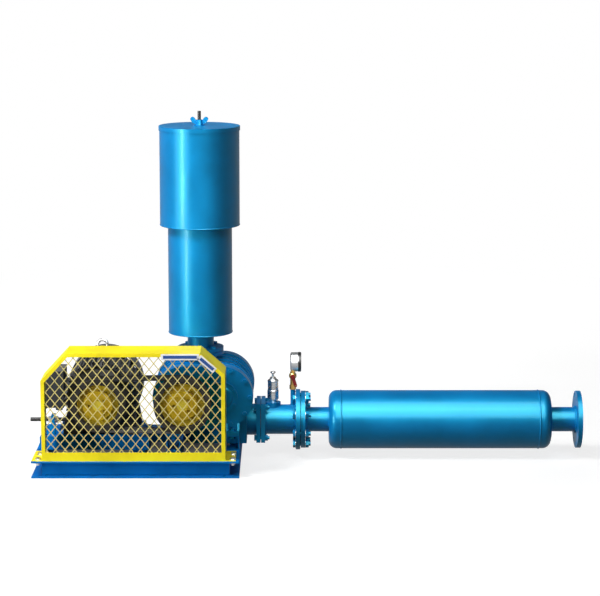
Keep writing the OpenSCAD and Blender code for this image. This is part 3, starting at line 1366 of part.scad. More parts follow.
base_long_rails();
base_short_rails();
cross_beams();
blower_pedestals();
motor_slide_rails();
tension_bracket();
tension_nuts();
guard_frame();
guard_mesh();
guard_bolts();
motor_slide_plate();
tension_rod();
motor_frame();
motor_shields();
fan_cowl();
terminal_box();
terminal_lid();
lifting_eye();
motor_foot_bolts();
stator_core();
motor_shaft();
cooling_fan();
motor_bearings();
motor_pulley();
v_belts();
blower_casing();
drive_end_plate();
gear_end_plate();
bearing_caps();
gear_case();
oil_plugs();
blower_bolts();
blower_bearings();
drive_rotor();
drive_gear();
blower_pulley();
driven_rotor();
driven_gear();
inlet_neck();
intake_drum();
intake_packing();
filter_element();
filter_hood();
hood_stud();
hood_lid();
wing_nut();
discharge_pipe();
gaskets();
flange_bolts();
relief_body();
relief_disc();
relief_spring();
relief_knob();
gauge_cock();
gauge_cock_lever();
gauge_case();
gauge_pointer();
gauge_glass();
discharge_silencer();
silencer_packing();
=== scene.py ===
"""Looks of the belt-driven blower package: materials, belts, welds, washers, dial and stage."""

import json
import math

import bpy
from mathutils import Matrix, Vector


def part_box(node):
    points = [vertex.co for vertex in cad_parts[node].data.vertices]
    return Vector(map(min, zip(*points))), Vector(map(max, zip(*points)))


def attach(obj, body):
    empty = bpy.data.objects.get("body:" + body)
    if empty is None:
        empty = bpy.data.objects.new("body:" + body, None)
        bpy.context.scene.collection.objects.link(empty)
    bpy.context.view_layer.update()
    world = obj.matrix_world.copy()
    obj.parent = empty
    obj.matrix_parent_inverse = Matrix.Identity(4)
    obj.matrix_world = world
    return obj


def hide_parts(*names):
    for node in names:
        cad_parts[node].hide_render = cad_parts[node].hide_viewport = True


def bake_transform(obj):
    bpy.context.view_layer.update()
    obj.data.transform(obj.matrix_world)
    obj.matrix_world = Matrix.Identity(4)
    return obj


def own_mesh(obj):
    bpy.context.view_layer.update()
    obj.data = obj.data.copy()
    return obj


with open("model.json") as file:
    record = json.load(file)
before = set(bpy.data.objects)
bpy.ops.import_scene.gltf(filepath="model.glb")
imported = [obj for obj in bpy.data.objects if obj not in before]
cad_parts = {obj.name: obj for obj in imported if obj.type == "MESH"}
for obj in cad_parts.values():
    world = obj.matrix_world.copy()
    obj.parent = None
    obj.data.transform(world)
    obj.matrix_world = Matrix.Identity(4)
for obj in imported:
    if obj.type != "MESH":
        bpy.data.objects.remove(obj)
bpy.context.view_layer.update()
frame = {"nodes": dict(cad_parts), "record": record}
NODES = frame["nodes"]


# Node helpers

def add(tree, kind, inputs=None, **settings):
    """A shader node with its settings, and its inputs linked or set."""
    made = tree.nodes.new(kind)
    for key, value in settings.items():
        setattr(made, key, value)
    for key, value in (inputs or {}).items():
        socket = made.inputs[key]
        if isinstance(value, bpy.types.NodeSocket):
            tree.links.new(value, socket)
        else:
            socket.default_value = value
    return made


def rgb(colour):
    return (*colour, 1.0)


def shade(colour, k):
    return tuple(min(1.0, c * k) for c in colour)


def ramp(tree, fac, stops):
    """A colour that follows a 0 to 1 value through its stops."""
    made = add(tree, "ShaderNodeValToRGB", {"Fac": fac})
    ramp_data = made.color_ramp
    while len(ramp_data.elements) < len(stops):
        ramp_data.elements.new(0.5)
    for element, (place, colour) in zip(ramp_data.elements, stops):
        element.position = place
        element.color = rgb(colour)
    return made.outputs["Color"]


def mix(tree, fac, a, b, mode="MIX"):
    made = add(tree, "ShaderNodeMix", data_type="RGBA", blend_type=mode)
    for index, value in ((0, fac), (6, a), (7, b)):
        if isinstance(value, bpy.types.NodeSocket):
            tree.links.new(value, made.inputs[index])
        else:
            made.inputs[index].default_value = value if index == 0 else rgb(value)
    return made.outputs[2]


def maths(tree, operation, *values):
    made = add(tree, "ShaderNodeMath", operation=operation)
    for index, value in enumerate(values):
        if isinstance(value, bpy.types.NodeSocket):
            tree.links.new(value, made.inputs[index])
        else:
            made.inputs[index].default_value = value
    return made.outputs[0]


def noise(tree, coords, scale, detail=3.0, roughness=0.55):
    return add(tree, "ShaderNodeTexNoise", {"Vector": coords, "Scale": scale, "Detail": detail,
                                            "Roughness": roughness}).outputs["Fac"]


def start(name):
    material = bpy.data.materials.new(name)
    material.use_nodes = True
    tree = material.node_tree
    tree.nodes.clear()
    coords = add(tree, "ShaderNodeTexCoord").outputs["Object"]
    return material, tree, coords


def end(material, tree, **inputs):
    """Closes a material with one Principled shader. Keys use _ for the blanks of socket names."""
    sockets = {key.replace("_", " "): value for key, value in inputs.items()}
    for key in ("Base Color", "Specular Tint"):
        if key in sockets and not isinstance(sockets[key], bpy.types.NodeSocket):
            sockets[key] = rgb(sockets[key])
    shader = add(tree, "ShaderNodeBsdfPrincipled", sockets)
    add(tree, "ShaderNodeOutputMaterial", {"Surface": shader.outputs[0]})
    return material


def bumped(tree, height, strength, distance):
    return add(tree, "ShaderNodeBump", {"Height": height, "Strength": strength,
                                        "Distance": distance}).outputs[0]


def spread(tree, fac, low, high):
    """A 0 to 1 value spread over low to high."""
    return add(tree, "ShaderNodeMapRange", {"Value": fac, "From Min": 0.3, "From Max": 0.7, "To Min": low,
                                            "To Max": high}).outputs[0]


def paint(name, colour, rough=0.3, peel=0.25, cast=0.0, coat=0.1, spots=0.0, dust_and_top_light=0.0, gloss=0.3,
          sheen=(1, 1, 1)):
    """Enamel over sheet or casting: slight mottling, orange peel, sand-cast grain, chips, and a pale film on
    upward faces that is dust and painted light on the lit tops.

    gloss and sheen are the strength and the tint of its highlight.
    """
    material, tree, coords = start(name)
    cloud = noise(tree, coords, 7.0, 4.0)
    fine = noise(tree, coords, 260.0, 2.0)
    tint = ramp(tree, cloud, [(0.3, shade(colour, 0.84)), (0.5, colour), (0.72, shade(colour, 1.14))])
    if spots:
        flecks = noise(tree, coords, 95.0, 2.0, 0.4)
        mask = ramp(tree, flecks, [(0.74, (0, 0, 0)), (0.78, (1, 1, 1))])
        tint = mix(tree, maths(tree, "MULTIPLY", mask, spots), tint, shade(colour, 0.3))
    if dust_and_top_light:
        # Pale film on upward faces: dust, and painted light standing in for the lit tops.
        normal = add(tree, "ShaderNodeNewGeometry").outputs["Normal"]
        up = add(tree, "ShaderNodeSeparateXYZ", {"Vector": normal}).outputs["Z"]
        dust_and_light_film = maths(tree, "MULTIPLY", maths(tree, "MAXIMUM", up, 0.0),
                     spread(tree, cloud, 0.3 * dust_and_top_light, dust_and_top_light))
        tint = mix(tree, dust_and_light_film, tint, (0.62, 0.6, 0.55))
    height = fine
    if cast:
        grains = maths(tree, "MULTIPLY", noise(tree, coords, 420.0, 4.0, 0.7), cast)
        dents = maths(tree, "MULTIPLY", noise(tree, coords, 34.0, 3.0), 0.8)
        height = maths(tree, "ADD", grains, dents)
    return end(material, tree, Base_Color=tint, Roughness=spread(tree, cloud, rough - 0.05, rough + 0.07),
               Specular_IOR_Level=gloss, Specular_Tint=sheen, Coat_Weight=coat, Coat_Roughness=0.18,
               Normal=bumped(tree, height, peel, 0.0006))


def metal(name, colour, rough=0.3, stretch=(1, 1, 30), stain=0.12):
    """Drawn or turned metal with fine marks across one direction and faint stains."""
    material, tree, coords = start(name)
    scaled = add(tree, "ShaderNodeVectorMath", {0: coords, 1: stretch}, operation="MULTIPLY").outputs[0]
    lines = noise(tree, scaled, 60.0, 3.0)
    cloud = noise(tree, coords, 30.0, 4.0)
    tint = ramp(tree, cloud, [(0.3, shade(colour, 1 - stain * 2)), (0.6, colour),
                              (0.8, shade(colour, 1 + stain))])
    return end(material, tree, Base_Color=tint, Metallic=1.0,
               Roughness=spread(tree, lines, rough - 0.06, rough + 0.1),
               Normal=bumped(tree, lines, 0.12, 0.0003))


# Colours of a pulley from its shaft to its rim, each with its share of the radius; the yellow is dimmed
# throughout as painted shade inside the guard, and darker towards the shaft
PULLEY_SHADED_TINTS = [(0.0, (0.5, 0.33, 0.005)), (0.38, (0.62, 0.42, 0.006)), (0.5, (0.7, 0.48, 0.007)),
                (0.765, (0.78, 0.56, 0.009)), (0.79, (0.02, 0.018, 0.016)), (1.0, (0.03, 0.028, 0.026))]


def pulley_paint_shaded(name, centre, radius):
    """Yellow web and hub, darker towards the shaft and dimmed as painted shade inside the guard, with a dark
    grooved rim: the tint follows the distance from the shaft.
    """
    material, tree, coords = start(name)
    parts = add(tree, "ShaderNodeSeparateXYZ", {"Vector": coords})
    dx = maths(tree, "SUBTRACT", parts.outputs["X"], centre[0])
    dz = maths(tree, "SUBTRACT", parts.outputs["Z"], centre[1])
    away = maths(tree, "SQRT", maths(tree, "ADD", maths(tree, "MULTIPLY", dx, dx),
                                     maths(tree, "MULTIPLY", dz, dz)))
    # Yellow dimmed as painted shade inside the guard, and darker towards the shaft.
    tint = ramp(tree, maths(tree, "DIVIDE", away, radius), PULLEY_SHADED_TINTS)
    cloud = noise(tree, coords, 45.0, 4.0)
    grime = ramp(tree, cloud, [(0.3, (0.25, 0.2, 0.1)), (0.65, (0.8, 0.8, 0.8))])
    tint = mix(tree, 0.35, tint, grime, "MULTIPLY")
    wave = maths(tree, "SINE", maths(tree, "MULTIPLY", away, 2600.0))
    return end(material, tree, Base_Color=tint, Roughness=spread(tree, cloud, 0.35, 0.55),
               Specular_IOR_Level=0.25, Normal=bumped(tree, maths(tree, "ADD", wave, cloud), 0.1, 0.0005))


def two_tone(name, axis, place, first, second):
    """Two finishes, each a colour and its metallic share, that change at a place along an axis."""
    material, tree, coords = start(name)
    along = add(tree, "ShaderNodeSeparateXYZ", {"Vector": coords}).outputs[axis]
    share = add(tree, "ShaderNodeMapRange", {"Value": along, "From Min": place - 0.0002,
                                             "From Max": place + 0.0002}).outputs[0]
    shine = add(tree, "ShaderNodeMapRange", {"Value": share, "To Min": first[1],
                                             "To Max": second[1]}).outputs[0]
    lines = noise(tree, coords, 300.0, 2.0)
    return end(material, tree, Base_Color=mix(tree, share, first[0], second[0]), Metallic=shine,
               Roughness=spread(tree, lines, 0.26, 0.42), Normal=bumped(tree, lines, 0.1, 0.0003))


def rubber(name, colour, grain=0.3):
    """Dull rubber or gasket sheet with a fine cloth grain."""
    material, tree, coords = start(name)
    cloud = noise(tree, coords, 40.0, 3.0)
    tint = ramp(tree, cloud, [(0.3, shade(colour, 0.7)), (0.7, shade(colour, 1.6))])
    weave = noise(tree, coords, 900.0, 2.0)
    return end(material, tree, Base_Color=tint, Roughness=spread(tree, cloud, 0.6, 0.8),
               Normal=bumped(tree, weave, grain, 0.0004))


def wool(name, colour):
    """Mineral wool: matted fibres with a soft sheen."""
    material, tree, coords = start(name)
    fibres = noise(tree, coords, 300.0, 6.0, 0.75)
    tint = ramp(tree, fibres, [(0.3, shade(colour, 0.6)), (0.7, colour)])
    return end(material, tree, Base_Color=tint, Roughness=0.95, Sheen_Weight=0.3,
               Normal=bumped(tree, fibres, 0.8, 0.004))


def lamination(name, colour):
    """Stacked sheets along the shaft, with copper-brown end windings seen through the gap."""
    material, tree, coords = start(name)
    y = add(tree, "ShaderNodeSeparateXYZ", {"Vector": coords}).outputs["Y"]
    stack = maths(tree, "SINE", maths(tree, "MULTIPLY", y, 4000.0))
    cloud = noise(tree, coords, 60.0, 3.0)
    tint = ramp(tree, cloud, [(0.3, shade(colour, 0.6)), (0.7, colour)])
    return end(material, tree, Base_Color=tint, Metallic=0.6, Roughness=0.5,
               Normal=bumped(tree, stack, 0.3, 0.0004))


def pleated(name, colour):
    """Filter paper, slightly soiled."""
    material, tree, coords = start(name)
    cloud = noise(tree, coords, 120.0, 4.0)
    tint = ramp(tree, cloud, [(0.3, shade(colour, 0.82)), (0.7, colour)])
    return end(material, tree, Base_Color=tint, Roughness=0.85, Normal=bumped(tree, cloud, 0.3, 0.001))


def glass(name):
    """Clear glass with faint smears."""
    material, tree, coords = start(name)
    smear = noise(tree, coords, 60.0, 3.0)
    return end(material, tree, Base_Color=(0.95, 0.98, 1.0), Roughness=spread(tree, smear, 0.02, 0.08),
               Transmission_Weight=1.0, IOR=1.45)


# Colours as linear red, green and blue; CYAN tints the highlights of the blue paints
BLUE = (0.002, 0.17, 0.45)
IRON_BLUE = (0.002, 0.155, 0.43)
BASE_BLUE = (0.002, 0.14, 0.48)
YELLOW = (0.97, 0.8, 0.01)
PALE_YELLOW = (0.68, 0.58, 0.2)
CYAN = (0.04, 0.85, 1.0)
CASE_STEEL = (0.72, 0.73, 0.74)
SHAFT_STEEL = (0.5, 0.5, 0.51)
SHAFT_YELLOW = (0.7, 0.56, 0.03)
BLACK = (0.012, 0.012, 0.013)

LOOKS = {
    "blue_paint": paint("blue_enamel", BLUE, rough=0.37, peel=0.06, coat=0.16, gloss=1.0, sheen=CYAN),
    "blue_iron": paint("blue_casting", IRON_BLUE, rough=0.42, peel=0.4, cast=0.5, coat=0.06, gloss=0.7,
                       sheen=CYAN),
    "base_blue": paint("blue_base_enamel", BASE_BLUE, rough=0.46, peel=0.2, spots=0.5, coat=0.03,
                       gloss=0.4, sheen=CYAN),
    "yellow_paint": paint("yellow_enamel", YELLOW, rough=0.42, peel=0.12, spots=0.25, coat=0.0, gloss=0.2),
    "mesh_paint": paint("yellow_mesh_enamel", PALE_YELLOW, rough=0.5, peel=0.15, coat=0.0, gloss=0.12),
    # Its pale film on upward faces is dust and painted light on the lit tops.
    "motor_grey": paint("motor_grey_enamel", (0.02, 0.023, 0.028), rough=0.4, peel=0.4, cast=0.6,
                        dust_and_top_light=0.22, coat=0.0),
    "black_steel": paint("black_oxide", (0.008, 0.008, 0.009), rough=0.4, peel=0.2, coat=0.1),
    "red_paint": paint("red_lever_grip", (0.33, 0.006, 0.008), rough=0.35, peel=0.2, coat=0.5),
    "zinc": metal("zinc_plate", (0.72, 0.72, 0.7), rough=0.32),
    "bare_steel": metal("machined_steel", SHAFT_STEEL, rough=0.3),
    "gauge_steel": metal("gauge_steel", CASE_STEEL, rough=0.28, stretch=(30, 1, 1)),
    "chrome": metal("chrome", (0.78, 0.79, 0.8), rough=0.22, stain=0.05),
    "brass": metal("brass", (0.78, 0.5, 0.16), rough=0.28),
    "black_plastic": paint("black_plastic", BLACK, rough=0.5, peel=0.3, coat=0.0),
    "belt_rubber": rubber("belt_rubber", (0.011, 0.011, 0.012), 0.7),
    "gasket_rubber": rubber("gasket_sheet", (0.02, 0.02, 0.021)),
    "packing": wool("mineral_wool", (0.5, 0.44, 0.24)),
    "filter_paper": pleated("filter_paper", (0.82, 0.78, 0.62)),
    "stator_iron": lamination("stator_stack", (0.22, 0.13, 0.08)),
    "gauge_glass": glass("gauge_glass"),
}

RECORD_SLOT = {row["node"]: row["material_slot"] for row in frame["record"]["subparts"]}
OWN_LOOK = {
    "guard_mesh": "mesh_paint",
    "base_long_rails": "base_blue", "base_short_rails": "base_blue", "cross_beams": "base_blue",
    "motor_slide_rails": "base_blue", "blower_pedestals": "base_blue", "tension_bracket": "blue_paint",
    "motor_slide_plate": "base_blue", "hood_stud": "black_steel",
}

# Length of the paint on a shaft's front end, and where the gauge's bezel starts from its back
PAINTED_END = 0.004
BEZEL_AT = 0.0285


def centre_of(node):
    low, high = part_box(node)
    return (low + high) / 2


def dress(obj, material):
    obj.data.materials.clear()
    obj.data.materials.append(material)


for name, obj in NODES.items():
    low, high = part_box(name)
    if name in ("motor_pulley", "blower_pulley"):
        mid = (low + high) / 2
        dress(obj, pulley_paint_shaded(name + "_finish", (mid.x, mid.z), (high.x - low.x) / 2))
    elif name in ("motor_shaft", "drive_rotor"):
        dress(obj, two_tone(name + "_finish", "Y", low.y + PAINTED_END, (SHAFT_YELLOW, 0.0),
                            (SHAFT_STEEL, 1.0)))
    elif name == "gauge_case":
        dress(obj, two_tone("gauge_case_finish", "X", low.x + BEZEL_AT, (CASE_STEEL, 1.0), (BLACK, 0.0)))
    else:
        dress(obj, LOOKS[OWN_LOOK.get(name, RECORD_SLOT[name])])


# Mesh helpers

def piece(name, verts, faces, material, body, smooth=True):
    """A new mesh object that rides on a body, with the material given."""
    data = bpy.data.meshes.new(name)
    data.from_pydata([tuple(v) for v in verts], [], faces)
    data.validate()
    data.update()
    obj = bpy.data.objects.new(name, data)
    bpy.context.scene.collection.objects.link(obj)
    for polygon in data.polygons:
        polygon.use_smooth = smooth
    data.materials.append(material)
    if body:
        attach(obj, body)
    return obj


class Shape:
    """Vertices and faces gathered from several small forms into one piece."""

    def __init__(self):
        self.verts, self.faces = [], []

    def rings(self, loops, closed_ring=True, closed_path=False):
        """Skins a row of equal rings of points."""
        base, count, size = len(self.verts), len(loops), len(loops[0])
        for loop in loops:
            self.verts.extend(loop)
        steps = count if closed_path else count - 1
        for i in range(steps):
            for k in range(size if closed_ring else size - 1):
                a, b = base + i * size, base + (i + 1) % count * size
                self.faces.append((a + k, a + (k + 1) % size, b + (k + 1) % size, b + k))
        if not closed_path and closed_ring:
            self.faces.append(tuple(base + k for k in reversed(range(size))))
            self.faces.append(tuple(base + (count - 1) * size + k for k in range(size)))

    def turned(self, origin, axis, profile, steps=32):
        """A closed profile of (radius, height) points turned round an axis."""
        frame_axes = axes_of(axis)
        loops = []
        for i in range(steps):
            angle = 2 * math.pi * i / steps
            out = frame_axes[0] * math.cos(angle) + frame_axes[1] * math.sin(angle)
            loops.append([Vector(origin) + out * r + frame_axes[2] * h for r, h in profile])
        self.rings(loops, closed_path=True)

    def bead(self, points, radius, closed=False, ripple=0.22, pitch=0.006, flat=1.0):
        """A weld bead along points, with its ripples."""
        count = len(points)
        loops, run = [], 0.0
        for i, point in enumerate(points):
            before = points[i - 1] if i or closed else points[i]
            after = points[(i + 1) % count] if i + 1 < count or closed else points[i]
            along = (after - before).normalized()
            if i:
                run += (point - points[i - 1]).length
            side, up, _ = axes_of(along)
            r = radius * (1 + ripple * math.sin(2 * math.pi * run / pitch))
            loops.append([point + side * math.cos(a) * r + up * math.sin(a) * r * flat
                          for a in (2 * math.pi * k / 8 for k in range(8))])
        self.rings(loops, closed_path=closed)

    def make(self, name, material, body, slot=None, smooth=True):
        return piece(name, self.verts, self.faces, material, body, smooth)


def axes_of(axis):
    """Two directions across an axis, and the axis."""
    along = Vector(axis).normalized()
    guess = Vector((0, 0, 1)) if abs(along.z) < 0.9 else Vector((1, 0, 0))
    side = guess.cross(along).normalized()
    return side, along.cross(side).normalized(), along


def circle_points(centre, axis, radius, steps):
    side, up, _ = axes_of(axis)
    return [Vector(centre) + side * math.cos(a) * radius + up * math.sin(a) * radius
            for a in (2 * math.pi * i / steps for i in range(steps))]


def line_points(start_point, end_point, step):
    a, b = Vector(start_point), Vector(end_point)
    count = max(2, int((b - a).length / step))
    return [a.lerp(b, i / count) for i in range(count + 1)]


# Places taken from the CAD boxes

motor = centre_of("motor_pulley")
drive = centre_of("blower_pulley")
motor_r = (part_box("motor_pulley")[1].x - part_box("motor_pulley")[0].x) / 2
drive_r = (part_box("blower_pulley")[1].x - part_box("blower_pulley")[0].x) / 2
hood_low, hood_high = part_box("filter_hood")
drum_low, drum_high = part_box("intake_drum")
inlet = centre_of("filter_hood")
pipe_low, pipe_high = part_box("discharge_pipe")
muffler_low, muffler_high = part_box("discharge_silencer")
line = Vector((0, centre_of("discharge_silencer").y, centre_of("discharge_silencer").z))
guard_low, guard_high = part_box("guard_frame")


# Belts

BELT_WIDTH = 0.017
BELT_COUNT = 3
# Section of a belt: height over the pulley's rim and place across the belt
BELT_SECTION = [(-0.0094, -0.005), (-0.0094, 0.005), (-0.0050, 0.0064), (0.0004, 0.0083), (0.0012, 0.0081),
                (0.0015, 0.0066), (0.0015, -0.0066), (0.0012, -0.0081), (0.0004, -0.0083), (-0.0050, -0.0064)]


def belt_loop(steps, straight):
    """Places round both pulleys: shaft, radius and angle, or two such places and the share between them."""
    lean = math.acos((motor_r - drive_r) / (drive.x - motor.x))
    left = [(motor, motor_r, lean + (2 * math.pi - 2 * lean) * i / steps) for i in range(steps + 1)]
    right = [(drive, drive_r, -lean + 2 * lean * i / steps) for i in range(steps + 1)]
    lower = [(left[-1], right[0], i / straight) for i in range(1, straight)]
    upper = [(right[-1], left[0], i / straight) for i in range(1, straight)]
    return left + lower + right + upper


def belt_point(place, off, y):
    """A point over a place of the loop: off the rim by off, and at y along the shaft."""
    def at(p):
        shaft, radius, angle = p
        reach = radius + off
        return Vector((shaft.x + reach * math.cos(angle), y, shaft.z + reach * math.sin(angle)))
    if isinstance(place[0], tuple):
        return at(place[0]).lerp(at(place[1]), place[2])
    return at(place)


def belts():
    """The three belts as one piece round both pulleys."""
    low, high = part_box("v_belts")
    pitch = (high.y - low.y - BELT_WIDTH) / (BELT_COUNT - 1)
    loop = belt_loop(40, 14)
    shape = Shape()
    for i in range(BELT_COUNT):
        y = low.y + BELT_WIDTH / 2 + i * pitch
        shape.rings([[belt_point(place, off, y + side) for off, side in BELT_SECTION] for place in loop],
                    closed_path=True)
    obj = shape.make("v_belt_set", LOOKS["belt_rubber"], None, "belt_rubber")
    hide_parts("v_belts")
    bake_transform(obj)


belts()


# Welds, rims and washers

STUB_R = 0.0445
PIPE_R = 0.054
NECK_R = 0.0475
WELD_OUT = 0.0015
WELD_R = 0.003
NECK_WELD_R = 0.0028
FLANGE_BACK = 0.018
LINE_AXIS = (1, 0, 0)
UP = (0, 0, 1)


def welds():
    """Fillet welds behind the flanges of the stubs, the pipe and the inlet neck."""
    shape = Shape()
    rounds = [(x, STUB_R) for x in (muffler_low.x + FLANGE_BACK, muffler_high.x - FLANGE_BACK)]
    rounds += [(x, PIPE_R) for x in (pipe_low.x + 0.0165, pipe_high.x - 0.0175)]
    for x, r in rounds:
        shape.bead(circle_points((x, line.y, line.z), LINE_AXIS, r + WELD_OUT, 160), WELD_R, closed=True)
    for z in (drum_low.z - WELD_OUT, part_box("inlet_neck")[0].z + 0.0135):
        ring = circle_points((inlet.x, inlet.y, z), UP, NECK_R + WELD_OUT, 140)
        shape.bead(ring, NECK_WELD_R, closed=True)
    shape.make("weld_beads", LOOKS["blue_paint"], "root", "blue_paint")


welds()


SEAM_ANGLE = math.radians(335)
SEAM_END = 0.15


def rims_and_seams():
    """Rolled lip of the hood, crimped lips of the drum and the lap seams of the rolled sheets at the back."""
    shape = Shape()
    hood_r = (hood_high.x - hood_low.x) / 2
    drum_r = (drum_high.x - drum_low.x) / 2
    rims = ((hood_r - 0.001, hood_low.z + 0.001, 0.0022), (drum_r - 0.0006, drum_low.z + 0.0022, 0.0022),
            (drum_r - 0.0004, drum_high.z - 0.003, 0.0018))
    for r, z, thick in rims:
        shape.bead(circle_points((inlet.x, inlet.y, z), UP, r, 120), thick, closed=True, ripple=0.0)
    upright = ((hood_r, hood_low.z + 0.006, hood_high.z - 0.018), (drum_r, drum_low.z + 0.006, hood_low.z))
    for r, z0, z1 in upright:
        back = inlet.y + r
        shape.bead(line_points((inlet.x, back, z0), (inlet.x, back, z1), 0.0016), 0.0016, flat=0.7)
    r = (muffler_high.z - muffler_low.z) / 2
    y, z = line.y + r * math.cos(SEAM_ANGLE), line.z + r * math.sin(SEAM_ANGLE)
    along = line_points((muffler_low.x + SEAM_END, y, z), (muffler_high.x - SEAM_END, y, z), 0.0018)
    shape.bead(along, 0.0018, flat=0.7)
    shape.make("sheet_seams", LOOKS["blue_paint"], "root", "blue_paint")


rims_and_seams()


RAIL_FLANGE = 0.040
PEDESTAL_SIZE = (0.050, 0.070)


def base_welds():
    """Beads on the mitres of the base and along the feet of what stands on it."""
    shape = Shape()
    low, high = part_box("base_long_rails")
    for sx, x in ((1, low.x), (-1, high.x)):
        for sy, y in ((1, low.y), (-1, high.y)):
            outer = Vector((x + sx * 0.001, y + sy * 0.001, high.z))
            inner = outer + Vector((sx * RAIL_FLANGE, sy * RAIL_FLANGE, 0))
            shape.bead(line_points(outer, inner, 0.0016), 0.0022, flat=0.6)
    z = high.z + 0.001
    a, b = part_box("blower_pedestals")
    w, d = PEDESTAL_SIZE
    feet = [(x, x + w, y, y + d) for x in (a.x, b.x - w) for y in (a.y, b.y - d)]
    a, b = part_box("tension_bracket")
    feet.append((a.x, b.x, a.y, b.y))
    for x0, x1, y0, y1 in feet:
        for y in (y0, y1):
            shape.bead(line_points((x0, y, z), (x1, y, z), 0.0016), 0.0024)
    shape.make("base_weld_beads", LOOKS["base_blue"], "root", "blue_paint")


base_welds()


BOLT_CIRCLE_R = 0.09
INLET_BOLTS_R = 0.0675
WASHER_T = 0.0016
WASHER_EDGE = 0.0004
# Bore and outer radius of each washer
FLANGE_WASHER = (0.0088, 0.0158)
GUARD_WASHER = (0.0055, 0.0112)
INLET_WASHER = (0.0066, 0.0125)
GUARD_SHEET = 0.003


def washers():
    """Flat washers under the heads and nuts that show."""
    blue, zinc = Shape(), Shape()

    def washer(target, place, axis, size):
        bore, r = size
        edge = [(r - WASHER_EDGE, WASHER_T), (r, WASHER_T - WASHER_EDGE)]
        target.turned(place, axis, [(bore, 0), (bore, WASHER_T), *edge, (r, 0)], 28)

    joint = pipe_high.x
    for i in range(8):
        a = math.radians(22.5 + 45 * i)
        y, z = line.y + BOLT_CIRCLE_R * math.sin(a), line.z + BOLT_CIRCLE_R * math.cos(a)
        washer(zinc, (joint - 0.016, y, z), (-1, 0, 0), FLANGE_WASHER)
        washer(zinc, (joint + 0.018, y, z), LINE_AXIS, FLANGE_WASHER)
    low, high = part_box("guard_bolts")
    for x in (low.x + 0.009, high.x - 0.009):
        for y in (guard_low.y + 0.013, (guard_low.y + guard_high.y) / 2 + 0.018):
            washer(zinc, (x, y, guard_low.z + GUARD_SHEET), UP, GUARD_WASHER)
    zinc.make("zinc_washers", LOOKS["zinc"], "root", "zinc")
    neck_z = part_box("inlet_neck")[0].z
    for i in range(4):
        a = math.radians(45 + 90 * i)
        x, y = inlet.x + INLET_BOLTS_R * math.cos(a), inlet.y + INLET_BOLTS_R * math.sin(a)
        washer(blue, (x, y, neck_z + 0.012), UP, INLET_WASHER)
    blue.make("inlet_washers", LOOKS["blue_paint"], "root", "blue_paint")


washers()


def rounded_bar(name, centre, along, across, length, width, thick, corner, material, body, slot):
    """A flat bar with rounded corners, standing proud of a face by its thickness."""
    along, across = Vector(along).normalized(), Vector(across).normalized()
    out = along.cross(across).normalized()
    loops = []
    for level, inset in ((0.0, 0.0), (thick * 0.7, 0.0), (thick, thick * 0.3)):
        loop = []
        for quarter, (sx, sy) in enumerate(((1, 1), (-1, 1), (-1, -1), (1, -1))):
            for i in range(5):
                a = math.radians(quarter * 90 + i * 22.5)
                u = sx * (length / 2 - corner) + math.cos(a) * (corner - inset)
                v = sy * (width / 2 - corner) + math.sin(a) * (corner - inset)
                loop.append(Vector(centre) + along * u + across * v + out * level)
        loops.append(loop)
    shape = Shape()
    shape.rings(loops)
    return shape.make(name, material, body, slot, smooth=False)


GUARD_FOOT = 0.036
CORNER_CUT = (0.086, 0.075)
PLATE_WIDTH, BAR_WIDTH = 0.022, 0.011
PLATE_IN = 0.0125


def guard_plates():
    """Two bare plates on the guard: a white ground with a blue bar, and nothing written on them."""
    white = paint("plate_white", (0.86, 0.87, 0.88), rough=0.4, peel=0.1, coat=0.3)
    blue = paint("plate_blue", (0.02, 0.08, 0.3), rough=0.4, peel=0.1, coat=0.3)
    corner = Vector((guard_high.x - GUARD_FOOT - CORNER_CUT[0], guard_low.y, guard_high.z))
    slope = Vector((CORNER_CUT[0], 0, -CORNER_CUT[1])).normalized()
    inward = Vector((slope.z, 0, -slope.x))
    spots = (("top", corner + Vector((-0.070, 0, -PLATE_IN)), Vector(LINE_AXIS), 0.134, 0.118),
             ("side", corner + slope * 0.042 + inward * PLATE_IN, slope, 0.074, 0.060))
    for label, centre, along, length, bar_length in spots:
        across = along.cross(Vector((0, 1, 0)))
        rounded_bar("guard_plate_" + label, centre, along, across, length, PLATE_WIDTH, 0.0012, 0.003,
                    white, "root", "yellow_paint")
        rounded_bar("guard_bar_" + label, centre + Vector((0, -0.0011, 0)), along, across, bar_length,
                    BAR_WIDTH, 0.0005, 0.001, blue, "root", "blue_paint")


guard_plates()


DIAL_AT = 0.0242
DIAL_T = 0.0006
MARK_RISE = 0.0009
SCALE_START, SCALE_SWEEP = 225, 270
TICKS, TICKS_PER_NUMBER, NUMBER_STEP = 50, 10, 20


